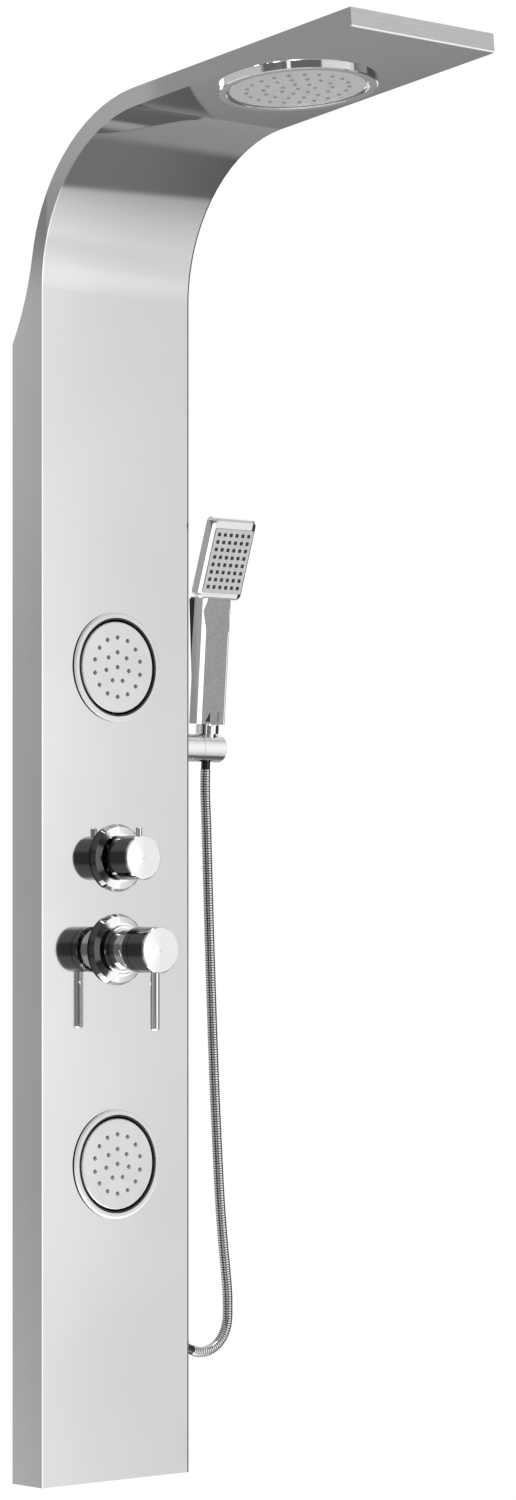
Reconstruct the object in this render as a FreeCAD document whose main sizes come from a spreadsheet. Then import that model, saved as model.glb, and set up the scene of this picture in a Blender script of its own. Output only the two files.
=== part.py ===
import FreeCAD, Part
import math
import os
from types import SimpleNamespace

import Sketcher
from FreeCAD import Placement, Rotation, Vector

# A wall-hung shower column: a folded steel panel that bends forward into a rain arm, with two
# swivelling body jets, a diverter, a lever mixer and a hand shower on a side holder.
# X points right seen from the front, Y points into the wall, Z points up. The origin is the
# middle of the upper wall bracket's two holes, on the wall. Heights are given from the foot of
# the column, spacings from the piece below, and reaches outwards from the face that a piece
# stands on.

SIZES = (
    # panel and arm
    ("column_width", 200), ("column_depth", 50), ("skin", 1.5), ("lip_width", 14),
    ("bend_spacing", 56), ("bend_radius", 167), ("arm_tilt", 5.3), ("arm_reach", 476),
    ("arm_thickness", 19.3), ("arm_tip_width", 191), ("back_corner_spacing", 99),
    ("back_curve_turn", 10.5), ("end_cap_thickness", 2), ("plug_depth", 6),
    ("foot_cap_thickness", 2), ("foot_cap_upstand", 10), ("fit", 0.3),
    # wall brackets and hanger rails
    ("bracket_spacing", 65), ("lower_bracket_height", 200), ("bracket_width", 110),
    ("bracket_drop", 25), ("plate", 2), ("wall_hole_spacing", 80), ("wall_hole_radius", 3),
    ("hook_top", 32), ("hook_reach", 6), ("rail_reach", 12), ("rail_drop", 20),
    ("ear_width", 30), ("rivet_radius", 2), ("rivet_head_radius", 3.5), ("rivet_head", 1.2),
    ("rivet_spacing", 24),
    # rain head
    ("rain_distance", 290), ("rain_ring_radius", 81), ("rain_ring_bore", 72),
    ("rain_ring_height", 4.8), ("rain_ledge_bore", 66), ("rain_ledge", 0.6), ("rain_plate_radius", 69.5),
    ("rain_plate", 1.2), ("rain_skirt", 2), ("rain_chamber_radius", 60), ("rain_chamber_wall", 2),
    ("rain_chamber_flange", 68), ("rain_mat", 1.2), ("rain_ring_pitch", 17.4),
    ("rain_stub_length", 18), ("rain_nut_radius", 7.4), ("rain_nut_length", 18),
    ("nozzle_base", 2.1), ("nozzle_tip", 1.4), ("nozzle_proud", 1.6), ("nozzle_gap", 0.25),
    # body jets
    ("lower_jet_height", 335), ("upper_jet_spacing", 202), ("jet_ring_radius", 58),
    ("jet_bore", 50.5), ("jet_cup_wall", 1.5), ("jet_cup_depth", 18), ("jet_floor", 2),
    ("jet_proud", 2.5), ("jet_ring_proud", 3), ("jet_face_radius", 48), ("jet_face_depth", 9),
    ("jet_plate", 2.5), ("jet_mat", 2), ("jet_ball_radius", 9), ("jet_ball_depth", 15),
    ("jet_ball_bore", 3), ("jet_seat_radius", 14), ("jet_seat_depth", 8), ("jet_hub_radius", 13),
    ("jet_hub_depth", 2), ("jet_spigot_radius", 9), ("jet_spigot_length", 18), ("jet_port_radius", 7.5),
    ("jet_port_length", 14), ("jet_flange_width", 5), ("jet_flange", 3), ("gasket", 1),
    ("jet_ring_pitch", 15.7),
    # diverter
    ("diverter_spacing", 97), ("diverter_flange_radius", 36), ("diverter_flange_height", 8),
    ("diverter_knob_radius", 23.5), ("diverter_knob_start", 13), ("diverter_knob_end", 43.5),
    ("diverter_wall", 3), ("diverter_cavity_depth", 17), ("diverter_cap", 2.6),
    ("diverter_pin_radius", 3.6), ("diverter_pin_reach", 38), ("diverter_pin_tip", 32),
    ("diverter_bush_radius", 14), ("diverter_bush_reach", 11), ("diverter_nut_radius", 18),
    ("diverter_nut_length", 3), ("spindle_radius", 5), ("running_fit", 0.05),
    ("diverter_body_radius", 22), ("diverter_body_depth", 44), ("port_length", 6),
    ("port_radius", 8), ("screw_radius", 1.5),
    # mixer
    ("mixer_height", 562), ("mixer_flange_radius", 38), ("mixer_flange_height", 8),
    ("collar_radius", 26), ("collar_reach", 13),
    ("dome_radius", 22), ("dome_wall", 3), ("pivot_reach", 30), ("dome_mouth", 14),
    ("handle_radius", 24.3), ("handle_bore", 22.7), ("handle_start", 38), ("handle_end", 71.5),
    ("handle_cavity_depth", 18), ("handle_cap", 2.6), ("groove_depth", 0.6), ("groove_width", 1.2),
    ("groove_place", 8), ("lever_radius", 5), ("lever_setback", 7), ("lever_tip", 84),
    ("stem_radius", 5), ("eye_radius", 6.5), ("eye_width", 12), ("hinge_pin_radius", 2.5),
    ("ear_gap", 0.6), ("ear_thickness", 4), ("ear_radius", 6), ("guide_radius", 18.4),
    ("guide_base", 6), ("guide_tail_radius", 8.7), ("guide_tail_depth", 18),
    ("cartridge_radius", 17.5), ("cartridge_depth", 28), ("cartridge_bore", 9),
    ("mixer_body_radius", 26), ("mixer_body_depth", 36), ("inlet_radius", 12.5),
    ("inlet_bore", 9.5), ("inlet_offset", 58), ("inlet_reach", 16), ("inlet_mouth", 40),
    ("inlet_stub_radius", 10), ("inlet_thread_length", 12),
    # tubes
    ("tube_radius", 5), ("tube_bore", 4), ("manifold_radius", 6), ("manifold_bore", 4.5),
    ("riser_radius", 7), ("riser_bore", 5.5), ("manifold_offset", 35), ("plumbing_depth", 37),
    ("side_depth", 25), ("rain_tube_offset", 35), ("hand_tube_offset", 78), ("tube_bend", 14),
    ("jog_spacing", 84), ("jog_length", 90),
    # hand shower holder
    ("holder_height", 780), ("holder_radius", 15.2), ("holder_joint", 32.5), ("holder_end", 71),
    ("holder_dome", 8), ("socket_reach", 46.5), ("socket_lean", 4.4), ("socket_top", 10.5),
    ("socket_bottom", 8.5), ("holder_spigot_radius", 6), ("holder_spigot_length", 14),
    ("holder_nut_radius", 10), ("holder_nut_length", 6), ("holder_pin_radius", 4),
    ("holder_pin_start", 18), ("holder_pin_end", 35.2),
    # hand shower
    ("handle_foot", 26), ("neck", 150), ("head_length", 102), ("head_lean", 14.6),
    ("grip_width", 40), ("grip_depth", 22), ("grip_bevel", 3.6), ("neck_depth", 18),
    ("grip_notch", 5), ("notch_height", 11), ("notch_depth", 2.5), ("head_width", 61),
    ("head_depth", 13), ("head_foot", 13), ("head_corner", 6), ("head_bevel", 2.4),
    ("face_width", 53), ("face_height", 71), ("face_centre", 56), ("face_corner", 2),
    ("face_plate", 2), ("face_proud", 0.8), ("spray_mat", 1.8), ("cavity_depth", 8),
    ("spray_pitch", 8.3), ("spray_pad", 3.4), ("spray_proud", 0.6), ("cone_nut_collar", 13),
    ("cone_nut_foot", 12), ("cone_gap", 0.4), ("spine_foot", 76), ("spine_depth", 18),
    ("spine_margin", 0.4),
    # hose and outlet
    ("hose_radius", 5.6), ("hose_valley", 5.1), ("hose_bore", 3.6), ("hose_first_run", 26),
    ("hose_last_run", 16), ("outlet_height", 140),
    ("outlet_angle", 27), ("outlet_flange_radius", 13), ("outlet_flange", 3),
    ("outlet_spout_radius", 7), ("outlet_spout_length", 12.7), ("outlet_nut_radius", 8.5),
    ("outlet_nut_length", 9), ("outlet_depth", 31), ("outlet_body_radius", 9),
)
RAIN_RINGS = (7, 14, 21)
JET_RINGS = (7, 14)
SPRAY_COLUMNS = 6
SPRAY_ROWS = 8
HOSE_RIBS = 200
# How far a cutting tool runs past the faces it cuts.
OVERRUN = 20

doc = FreeCAD.newDocument("shower_column")
sheet = doc.addObject("Spreadsheet::Sheet", "Sizes")
places = doc.addObject("Spreadsheet::Sheet", "Places")


class Size:
    """A number, and the sheet expression that gives it."""

    def __init__(self, value, text):
        self.value = float(value)
        self.text = text

    def __add__(self, other):
        other = as_size(other)
        return Size(self.value + other.value, "(%s + %s)" % (self.text, other.text))

    def __radd__(self, other):
        return as_size(other) + self

    def __sub__(self, other):
        other = as_size(other)
        return Size(self.value - other.value, "(%s - %s)" % (self.text, other.text))

    def __rsub__(self, other):
        return as_size(other) - self

    def __mul__(self, other):
        other = as_size(other)
        return Size(self.value * other.value, "(%s * %s)" % (self.text, other.text))

    def __rmul__(self, other):
        return as_size(other) * self

    def __truediv__(self, other):
        other = as_size(other)
        return Size(self.value / other.value, "(%s / %s)" % (self.text, other.text))

    def __neg__(self):
        return Size(-self.value, "(-1 * %s)" % self.text)


def as_size(number):
    if isinstance(number, Size):
        return number
    return Size(number, "(%.9g)" % number)


def sine(angle):
    angle = as_size(angle)
    return Size(math.sin(math.radians(angle.value)), "sin(%s)" % angle.text)


def cosine(angle):
    angle = as_size(angle)
    return Size(math.cos(math.radians(angle.value)), "cos(%s)" % angle.text)


def tangent(angle):
    return sine(angle) / cosine(angle)


def root(size):
    return Size(math.sqrt(size.value), "sqrt(%s)" % size.text)


dim = SimpleNamespace()
for row, (alias, number) in enumerate(SIZES, 1):
    sheet.set("A%d" % row, alias)
    sheet.set("B%d" % row, str(number))
    sheet.setAlias("B%d" % row, alias)
    setattr(dim, alias, Size(number, "Sizes." + alias))


def place_of(alias, size):
    """Keeps a worked-out size in a cell of its own, under a name."""
    row = len(worked) + 1
    worked.append(alias)
    places.set("A%d" % row, alias)
    places.set("B%d" % row, "=" + size.text)
    places.setAlias("B%d" % row, alias)
    return Size(size.value, "Places." + alias)


worked = []

# The pieces above the mixer stand on one another's heights, so that they keep clear of each other.
dim.diverter_height = place_of("diverter_height", dim.mixer_height + dim.diverter_spacing)
dim.upper_jet_height = place_of("upper_jet_height", dim.diverter_height + dim.upper_jet_spacing)
dim.jog_start = place_of("jog_start", dim.upper_jet_height + dim.jog_spacing)
dim.bracket_height = place_of("bracket_height", dim.jog_start + dim.jog_length + dim.bracket_spacing)
dim.back_corner_height = place_of("back_corner_height", dim.bracket_height + dim.back_corner_spacing)
dim.bend_start = place_of("bend_start", dim.back_corner_height + dim.bend_spacing)


# ---------------------------------------------------------------- building blocks

ALONG = {
    "+Z": ((0, 0, 1), 0), "-Z": ((1, 0, 0), 180), "+X": ((0, 1, 0), 90), "-X": ((0, 1, 0), -90),
    "+Y": ((1, 0, 0), -90), "-Y": ((1, 0, 0), 90),
}
nodes = []


def node(name, thing):
    thing.Label = name
    nodes.append(thing)
    return thing


def bind(thing, path, size):
    thing.setExpression(path, as_size(size).text)


def seat(thing, frame):
    """Puts a thing on a frame: a base point, an axis and a turn about it."""
    base, axis, angle = frame
    start = angle.value if isinstance(angle, Size) else angle
    thing.Placement = Placement(Vector(0, 0, 0), Rotation(Vector(*axis), start))
    if isinstance(angle, Size):
        bind(thing, ".Placement.Rotation.Angle", angle)
    for letter, size in zip("xyz", base):
        bind(thing, ".Placement.Base." + letter, size)
    return thing


def attach(sketch, body, role):
    plane = [item for item in body.Origin.OriginFeatures if item.Role == role][0]
    sketch.AttachmentSupport = [(plane, "")]
    sketch.MapMode = "FlatFace"


def tie(sketch, kind, items, size):
    size = as_size(size)
    number = sketch.addConstraint(Sketcher.Constraint(kind, *items, size.value))
    sketch.setExpression("Constraints[%d]" % number, size.text)


def arc_between(start, end, radius):
    """A circle's arc through two points; a positive radius runs anticlockwise."""
    chord = end - start
    half = chord.Length / 2
    rise = math.sqrt(max(radius * radius - half * half, 0))
    left = Vector(-chord.y, chord.x, 0).normalize()
    centre = start + chord * 0.5 + left * (rise if radius > 0 else -rise)
    circle = Part.Circle(centre, Vector(0, 0, 1), abs(radius))
    first = math.atan2(start.y - centre.y, start.x - centre.x)
    last = math.atan2(end.y - centre.y, end.x - centre.x)
    if radius < 0:
        first, last = last, first
    if last < first:
        last += 2 * math.pi
    return Part.ArcOfCircle(circle, first, last)


def draw(sketch, outline):
    """A closed outline through points (across, up); a third value makes the next edge an arc."""
    first = sketch.GeometryCount
    count = len(outline)
    points = [Vector(as_size(point[0]).value, as_size(point[1]).value, 0) for point in outline]
    ends = []
    for index, point in enumerate(outline):
        start = points[index]
        end = points[(index + 1) % count]
        if len(point) == 2:
            sketch.addGeometry(Part.LineSegment(start, end))
            ends.append((1, 2))
        else:
            sketch.addGeometry(arc_between(start, end, point[2].value))
            ends.append((1, 2) if point[2].value > 0 else (2, 1))
    for index, point in enumerate(outline):
        here = first + index
        following = (index + 1) % count
        sketch.addConstraint(Sketcher.Constraint(
            "Coincident", here, ends[index][1], first + following, ends[following][0]))
        tie(sketch, "DistanceX", (-1, 1, here, ends[index][0]), point[0])
        tie(sketch, "DistanceY", (-1, 1, here, ends[index][0]), point[1])
        if len(point) == 3:
            radius = point[2] if point[2].value > 0 else -point[2]
            tie(sketch, "Radius", (here,), radius)


def turned(name, outline):
    """A body turned about its own Z, from an outline of radius and reach."""
    body = doc.addObject("PartDesign::Body", name)
    sketch = body.newObject("Sketcher::SketchObject", name + "_section")
    attach(sketch, body, "XZ_Plane")
    draw(sketch, outline)
    turn = body.newObject("PartDesign::Revolution", name + "_turn")
    turn.Profile = sketch
    turn.ReferenceAxis = (sketch, ["V_Axis"])
    turn.Angle = 360
    body.Tip = turn
    return body


def padded(name, outline, length, plane):
    """A body of one outline, as long as given along its plane's normal."""
    body = doc.addObject("PartDesign::Body", name)
    sketch = body.newObject("Sketcher::SketchObject", name + "_outline")
    attach(sketch, body, plane)
    draw(sketch, outline)
    pad = body.newObject("PartDesign::Pad", name + "_pad")
    pad.Profile = sketch
    bind(pad, "Length", length)
    body.Tip = pad
    return body


def tapered(name, low_outline, high_outline, low, high):
    """A straight-sided solid between two outlines at two heights."""
    ends = []
    for outline, height in ((low_outline, low), (high_outline, high)):
        sketch = doc.addObject("Sketcher::SketchObject", name + "_end")
        draw(sketch, outline)
        bind(sketch, ".Placement.Base.z", height)
        ends.append(sketch)
    loft = doc.addObject("Part::Loft", name)
    loft.Sections = ends
    loft.Solid = True
    loft.Ruled = True
    return loft


def cylinder(radius, length, base=(0, 0, 0), along="+Z"):
    thing = doc.addObject("Part::Cylinder", "cylinder")
    bind(thing, "Radius", radius)
    bind(thing, "Height", length)
    return seat(thing, (base, *ALONG[along]))


def cone(low_radius, high_radius, length, base=(0, 0, 0), along="+Z"):
    thing = doc.addObject("Part::Cone", "cone")
    bind(thing, "Radius1", low_radius)
    bind(thing, "Radius2", high_radius)
    bind(thing, "Height", length)
    return seat(thing, (base, *ALONG[along]))


def ball(radius, base=(0, 0, 0)):
    thing = doc.addObject("Part::Sphere", "ball")
    bind(thing, "Radius", radius)
    return seat(thing, (base, *ALONG["+Z"]))


def block(across, deep, high, corner=(0, 0, 0)):
    thing = doc.addObject("Part::Box", "block")
    bind(thing, "Length", across)
    bind(thing, "Width", deep)
    bind(thing, "Height", high)
    return seat(thing, (corner, *ALONG["+Z"]))


def joined(name, things):
    thing = doc.addObject("Part::MultiFuse", name)
    thing.Shapes = things
    thing.Refine = True
    return thing


def group(name, things):
    thing = doc.addObject("Part::Compound", name)
    thing.Links = things
    return thing


def cut(name, base, *tools):
    thing = doc.addObject("Part::Cut", name)
    thing.Base = base
    thing.Tool = tools[0] if len(tools) == 1 else group(name + "_tools", list(tools))
    return thing


def common(name, first, second):
    thing = doc.addObject("Part::MultiCommon", name)
    thing.Shapes = [first, second]
    return thing


def level(height):
    """The Z of a height above the foot of the column."""
    return height - dim.bracket_height


def front(height, across=0):
    """A frame on the front of the column, whose Z reaches out of it."""
    return (across, -dim.column_depth, level(height)), *ALONG["-Y"]


# ---------------------------------------------------------------- bent tubes

def point_of(place):
    return Vector(*[as_size(value).value for value in place])


def rounded_path(points, radii):
    """A wire of straight runs joined by tangent arcs."""
    edges = []
    start = points[0]
    for index in range(1, len(points) - 1):
        corner = points[index]
        back = (points[index - 1] - corner).normalize()
        ahead = (points[index + 1] - corner).normalize()
        turn = math.pi - back.getAngle(ahead)
        reach = radii[index - 1] * math.tan(turn / 2)
        first = corner + back * reach
        last = corner + ahead * reach
        bisector = (back + ahead).normalize()
        middle = corner + bisector * (radii[index - 1] / math.cos(turn / 2) - radii[index - 1])
        edges.append(Part.LineSegment(start, first).toShape())
        edges.append(Part.Arc(first, middle, last).toShape())
        start = last
    edges.append(Part.LineSegment(start, points[-1]).toShape())
    return Part.Wire(edges)


def pipe(wire, radius):
    start = wire.Edges[0].valueAt(wire.Edges[0].FirstParameter)
    heading = wire.Edges[0].tangentAt(wire.Edges[0].FirstParameter)
    rim = Part.Wire([Part.Circle(start, heading, radius).toShape()])
    return wire.makePipeShell([rim], True, False)


def tube(name, points, radii, radius, bore):
    """A bent tube, in numbers read from the sheet's sizes."""
    corners = [point_of(point) for point in points]
    bends = [as_size(size).value for size in radii]
    wire = rounded_path(corners, bends)
    shape = pipe(wire, radius.value).cut(pipe(wire, bore.value))
    section = math.pi * (radius.value ** 2 - bore.value ** 2)
    print(name, "volume over section times length", round(shape.Volume / section / wire.Length, 5))
    thing = doc.addObject("Part::Feature", name)
    thing.Shape = shape
    return thing


# ---------------------------------------------------------------- panel and arm

half_width = dim.column_width / 2
foot = level(0)
bend_z = level(dim.bend_start)
bend_y = -(dim.column_depth + dim.bend_radius)
bend_turn = place_of("bend_turn", 90 - dim.arm_tilt)
outer_radius = place_of("outer_radius", dim.bend_radius + dim.arm_thickness)
tip_y = place_of("tip_y", -(dim.column_depth + dim.arm_reach))
bend_end_y = bend_y + dim.bend_radius * cosine(bend_turn)
bend_end_z = bend_z + dim.bend_radius * sine(bend_turn)
tip_z = place_of("tip_z", bend_end_z + (bend_end_y - tip_y) * tangent(dim.arm_tilt))
back_corner = level(dim.back_corner_height)
arm_frame = ((0, tip_y, tip_z), (1, 0, 0), -dim.arm_tilt)


def on_bend(radius, angle):
    return bend_y + radius * cosine(angle), bend_z + radius * sine(angle)


def on_arm(back, up):
    """A point of the arm's side view, from the lower corner of its tip."""
    tilt = dim.arm_tilt
    return (tip_y + back * cosine(tilt) + up * sine(tilt),
            tip_z - back * sine(tilt) + up * cosine(tilt))


# The upper back edge leaves the wall in an arc that flows into the arm's outer curve.
flow_y, flow_z = on_bend(outer_radius, dim.back_curve_turn)
flow_y = place_of("flow_y", flow_y)
flow_z = place_of("flow_z", flow_z)
flow_run = (0 - flow_y) * cosine(dim.back_curve_turn) + (back_corner - flow_z) * sine(dim.back_curve_turn)
flow_chord = flow_y * flow_y + (back_corner - flow_z) * (back_corner - flow_z)
flow_radius = place_of("flow_radius", flow_chord / (2 * flow_run))
flow_centre_y = flow_y + flow_radius * cosine(dim.back_curve_turn)
flow_centre_z = flow_z + flow_radius * sine(dim.back_curve_turn)


def plan_outline(inset):
    """The column and its narrowing arm, seen from above."""
    wide = half_width - inset
    narrow = dim.arm_tip_width / 2 - inset
    return [(wide, OVERRUN), (-wide, OVERRUN), (-wide, -dim.column_depth), (-narrow, tip_y),
            (narrow, tip_y), (wide, -dim.column_depth)]


def plan_solid(name, inset):
    rise = tip_z + dim.arm_thickness - foot + 3 * OVERRUN
    body = padded(name, plan_outline(inset), rise, "XY_Plane")
    return seat(body, ((0, 0, foot - OVERRUN), *ALONG["+Z"]))


def side_solid(name, outline, across):
    body = padded(name, outline, across, "YZ_Plane")
    return seat(body, ((-across / 2, 0, 0), *ALONG["+Z"]))


side_outline = [
    (0, foot), (-dim.column_depth, foot), (-dim.column_depth, bend_z, dim.bend_radius),
    on_bend(dim.bend_radius, bend_turn), on_arm(dim.end_cap_thickness, 0),
    on_arm(dim.end_cap_thickness, dim.arm_thickness),
    (*on_bend(outer_radius, bend_turn), -outer_radius), (flow_y, flow_z, flow_radius),
    (0, back_corner),
]
inner_curve = dim.bend_radius + dim.skin
hollow_outline = [
    (OVERRUN, foot - OVERRUN), (dim.skin - dim.column_depth, foot - OVERRUN),
    (dim.skin - dim.column_depth, bend_z, inner_curve), on_bend(inner_curve, bend_turn),
    on_arm(-OVERRUN, dim.skin), on_arm(-OVERRUN, dim.arm_thickness + 2 * OVERRUN),
    (OVERRUN, tip_z + dim.arm_thickness + 2 * OVERRUN),
]
cover_curve = outer_radius - dim.skin
flow_inner = flow_radius + dim.skin
cover_foot_y = flow_centre_y + flow_inner * (0 - flow_centre_y) / flow_radius
cover_foot_z = flow_centre_z + flow_inner * (back_corner - flow_centre_z) / flow_radius
cover_outline = [
    (0, back_corner, -flow_radius), (flow_y, flow_z, outer_radius),
    on_bend(outer_radius, bend_turn), on_arm(dim.end_cap_thickness, dim.arm_thickness),
    on_arm(dim.end_cap_thickness, dim.arm_thickness - dim.skin),
    (*on_bend(cover_curve, bend_turn), -cover_curve),
    (*on_bend(cover_curve, dim.back_curve_turn), flow_inner), (cover_foot_y, cover_foot_z),
]

rain_frame_base = (0, *on_arm((dim.arm_reach - dim.rain_distance) / cosine(dim.arm_tilt), 0))
rain_frame = (rain_frame_base, (1, 0, 0), 180 - dim.arm_tilt)
jet_cup_radius = dim.jet_bore + dim.jet_cup_wall
lip_reach = dim.skin
rivet_x = half_width - dim.lip_width / 2


def rivet_places():
    for height in (dim.bracket_height, dim.lower_bracket_height):
        for side in (-1, 1):
            for step in (-1, 1):
                yield rivet_x * side, level(height) + dim.rivet_spacing / 2 * step


def panel_hole(radius, height):
    return cylinder(radius, 2 * OVERRUN, (0, OVERRUN - dim.column_depth, level(height)), "-Y")


def make_front_panel():
    outer = common("panel_blank", side_solid("panel_side", side_outline, dim.column_width + OVERRUN),
                   plan_solid("panel_plan", as_size(0)))
    hollow = common("panel_hollow",
                    side_solid("hollow_side", hollow_outline, dim.column_width + OVERRUN),
                    plan_solid("hollow_plan", dim.skin))
    shell = cut("panel_shell", outer, hollow)
    lips = []
    for side in (0, 1):
        corner = (-half_width + side * (dim.column_width - dim.lip_width), -lip_reach, foot)
        lips.append(block(dim.lip_width, lip_reach, dim.back_corner_height - 3, corner))
    folded = joined("panel_folded", [shell, *lips])
    side_y = dim.side_depth - dim.column_depth
    holes = [
        panel_hole(jet_cup_radius + dim.fit, dim.upper_jet_height),
        panel_hole(jet_cup_radius + dim.fit, dim.lower_jet_height),
        panel_hole(dim.diverter_bush_radius + dim.fit, dim.diverter_height),
        panel_hole(dim.cartridge_radius + dim.fit, dim.mixer_height),
        cylinder(dim.holder_spigot_radius + dim.fit, 2 * OVERRUN,
                 (half_width - OVERRUN, side_y, level(dim.holder_height)), "+X"),
        cylinder(dim.outlet_body_radius + dim.fit, 2 * OVERRUN,
                 (half_width - OVERRUN, side_y, level(dim.outlet_height)), "+X"),
        seat(cylinder(dim.rain_chamber_radius + dim.fit, 5 * dim.skin), rain_hole_frame()),
    ]
    for x, z in rivet_places():
        holes.append(cylinder(dim.rivet_radius, 4 * dim.skin, (x, 2 * dim.skin, z), "-Y"))
    node("front_panel", cut("front_panel", folded, *holes))


def rain_point(up, back=0):
    """A point above the arm's underside, over the rain head's middle or behind it."""
    distance = (dim.arm_reach - dim.rain_distance) / cosine(dim.arm_tilt) + back
    return 0, *on_arm(distance, up)


def rain_hole_frame():
    return rain_point(2.5 * dim.skin), (1, 0, 0), 180 - dim.arm_tilt


def make_arm_covers():
    across = dim.column_width + OVERRUN
    cover = common("arm_top_cover", side_solid("cover_side", cover_outline, across),
                   plan_solid("cover_plan", dim.skin + dim.fit))
    node("arm_top_cover", cover)
    plug_inset = dim.skin + dim.fit
    face = block(dim.arm_tip_width, dim.end_cap_thickness, dim.arm_thickness,
                 (-dim.arm_tip_width / 2, 0, 0))
    plug = block(dim.arm_tip_width - 2 * plug_inset, dim.plug_depth,
                 dim.arm_thickness - 2 * plug_inset,
                 (plug_inset - dim.arm_tip_width / 2, dim.end_cap_thickness, plug_inset))
    node("arm_end_cap", seat(joined("arm_end_cap", [face, plug]), arm_frame))


def make_foot_cap():
    wide = dim.column_width - 2 * (dim.skin + dim.fit)
    deep = dim.column_depth - 2 * (dim.skin + dim.fit)
    corner_y = dim.skin + dim.fit - dim.column_depth
    pieces = [block(wide, deep, dim.foot_cap_thickness, (-wide / 2, corner_y, foot))]
    for side in (0, 1):
        x = -wide / 2 + side * (wide - dim.foot_cap_thickness)
        pieces.append(block(dim.foot_cap_thickness, deep, dim.foot_cap_upstand, (x, corner_y, foot)))
    node("foot_cap", joined("foot_cap", pieces))


# ---------------------------------------------------------------- brackets and rails

def make_wall_bracket(name, height):
    """A plate on the wall, with a step and an upright hook that the rail hangs on."""
    hook_base = dim.hook_top / 2
    hook_back = -dim.hook_reach
    outline = [
        (0, -dim.bracket_drop), (0, hook_base + dim.plate), (hook_back, hook_base + dim.plate),
        (hook_back, dim.hook_top - dim.fit), (hook_back - dim.plate, dim.hook_top - dim.fit),
        (hook_back - dim.plate, hook_base), (-dim.plate, hook_base), (-dim.plate, -dim.bracket_drop),
    ]
    body = padded(name + "_strip", outline, dim.bracket_width, "YZ_Plane")
    holes = []
    for side in (-1, 1):
        x = dim.bracket_width / 2 + dim.wall_hole_spacing / 2 * side
        holes.append(cylinder(dim.wall_hole_radius, 3 * dim.plate, (x, dim.plate, 0), "-Y"))
    bracket = cut(name, body, *holes)
    node(name, seat(bracket, ((-dim.bracket_width / 2, 0, level(height)), *ALONG["+Z"])))


def make_hanger_rail(name, height):
    """A hat-shaped rail riveted to the panel's lips, whose rear lip drops behind the hook."""
    reach = half_width - dim.skin - dim.fit
    inner = reach - dim.ear_width
    top = dim.hook_top + dim.plate
    rise = top + dim.rail_drop
    front_y = -(dim.rail_reach + dim.plate)
    lip_y = -(dim.hook_reach - 1)
    pieces = [
        block(2 * inner, dim.plate, rise, (-inner, front_y, -dim.rail_drop)),
        block(2 * inner, lip_y + dim.plate - front_y, dim.plate, (-inner, front_y, dim.hook_top)),
        block(2 * inner, dim.plate, dim.hook_top / 3, (-inner, lip_y, top - dim.hook_top / 3)),
    ]
    for side in (-1, 1):
        web_x = inner if side > 0 else -inner - dim.plate
        ear_x = inner if side > 0 else -reach
        deep = dim.rail_reach + dim.plate - lip_reach
        pieces.append(block(dim.plate, deep, rise, (web_x, front_y, -dim.rail_drop)))
        pieces.append(block(dim.ear_width, dim.plate, 2 * dim.rail_drop,
                            (ear_x, -(lip_reach + dim.plate), -dim.rail_drop)))
    holes = []
    for side in (-1, 1):
        for step in (-1, 1):
            holes.append(cylinder(dim.rivet_radius, 6 * dim.plate,
                                  (rivet_x * side, 0, dim.rivet_spacing / 2 * step), "-Y"))
    rail = cut(name, joined(name + "_folded", pieces), *holes)
    node(name, seat(rail, ((0, 0, level(height)), *ALONG["+Z"])))


def make_rivets():
    rivets = []
    shank = lip_reach + dim.plate
    for x, z in rivet_places():
        outline = [(0, 0), (dim.rivet_radius, 0), (dim.rivet_radius, shank),
                   (dim.rivet_head_radius, shank), (dim.rivet_radius, shank + dim.rivet_head),
                   (0, shank + dim.rivet_head)]
        rivets.append(seat(turned("rivet", outline), ((x, 0, z), *ALONG["-Y"])))
    node("rail_rivets", group("rail_rivets", rivets))


# ---------------------------------------------------------------- nozzles

def ring_places(pitch, rings):
    """The middle, then rings of equal steps, each from its top."""
    yield as_size(0), as_size(0)
    for order, count in enumerate(rings, 1):
        for index in range(count):
            angle = 90 + 360 * index / count
            yield pitch * order * cosine(angle), pitch * order * sine(angle)


def spray_places():
    for column in range(SPRAY_COLUMNS):
        for line in range(SPRAY_ROWS):
            yield (dim.spray_pitch * (column - (SPRAY_COLUMNS - 1) / 2),
                   dim.spray_pitch * (line - (SPRAY_ROWS - 1) / 2))


def nozzle_plate(name, plate, spots, radius, low, high):
    tools = [cylinder(radius, high - low, (x, y, low)) for x, y in spots]
    return cut(name, plate, *tools)


def nozzle_mat(name, mat, spots, base, tip, low, high):
    tips = [cone(base, tip, high - low, (x, y, low)) for x, y in spots]
    return joined(name, [mat, *tips])


# ---------------------------------------------------------------- rain head

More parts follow.
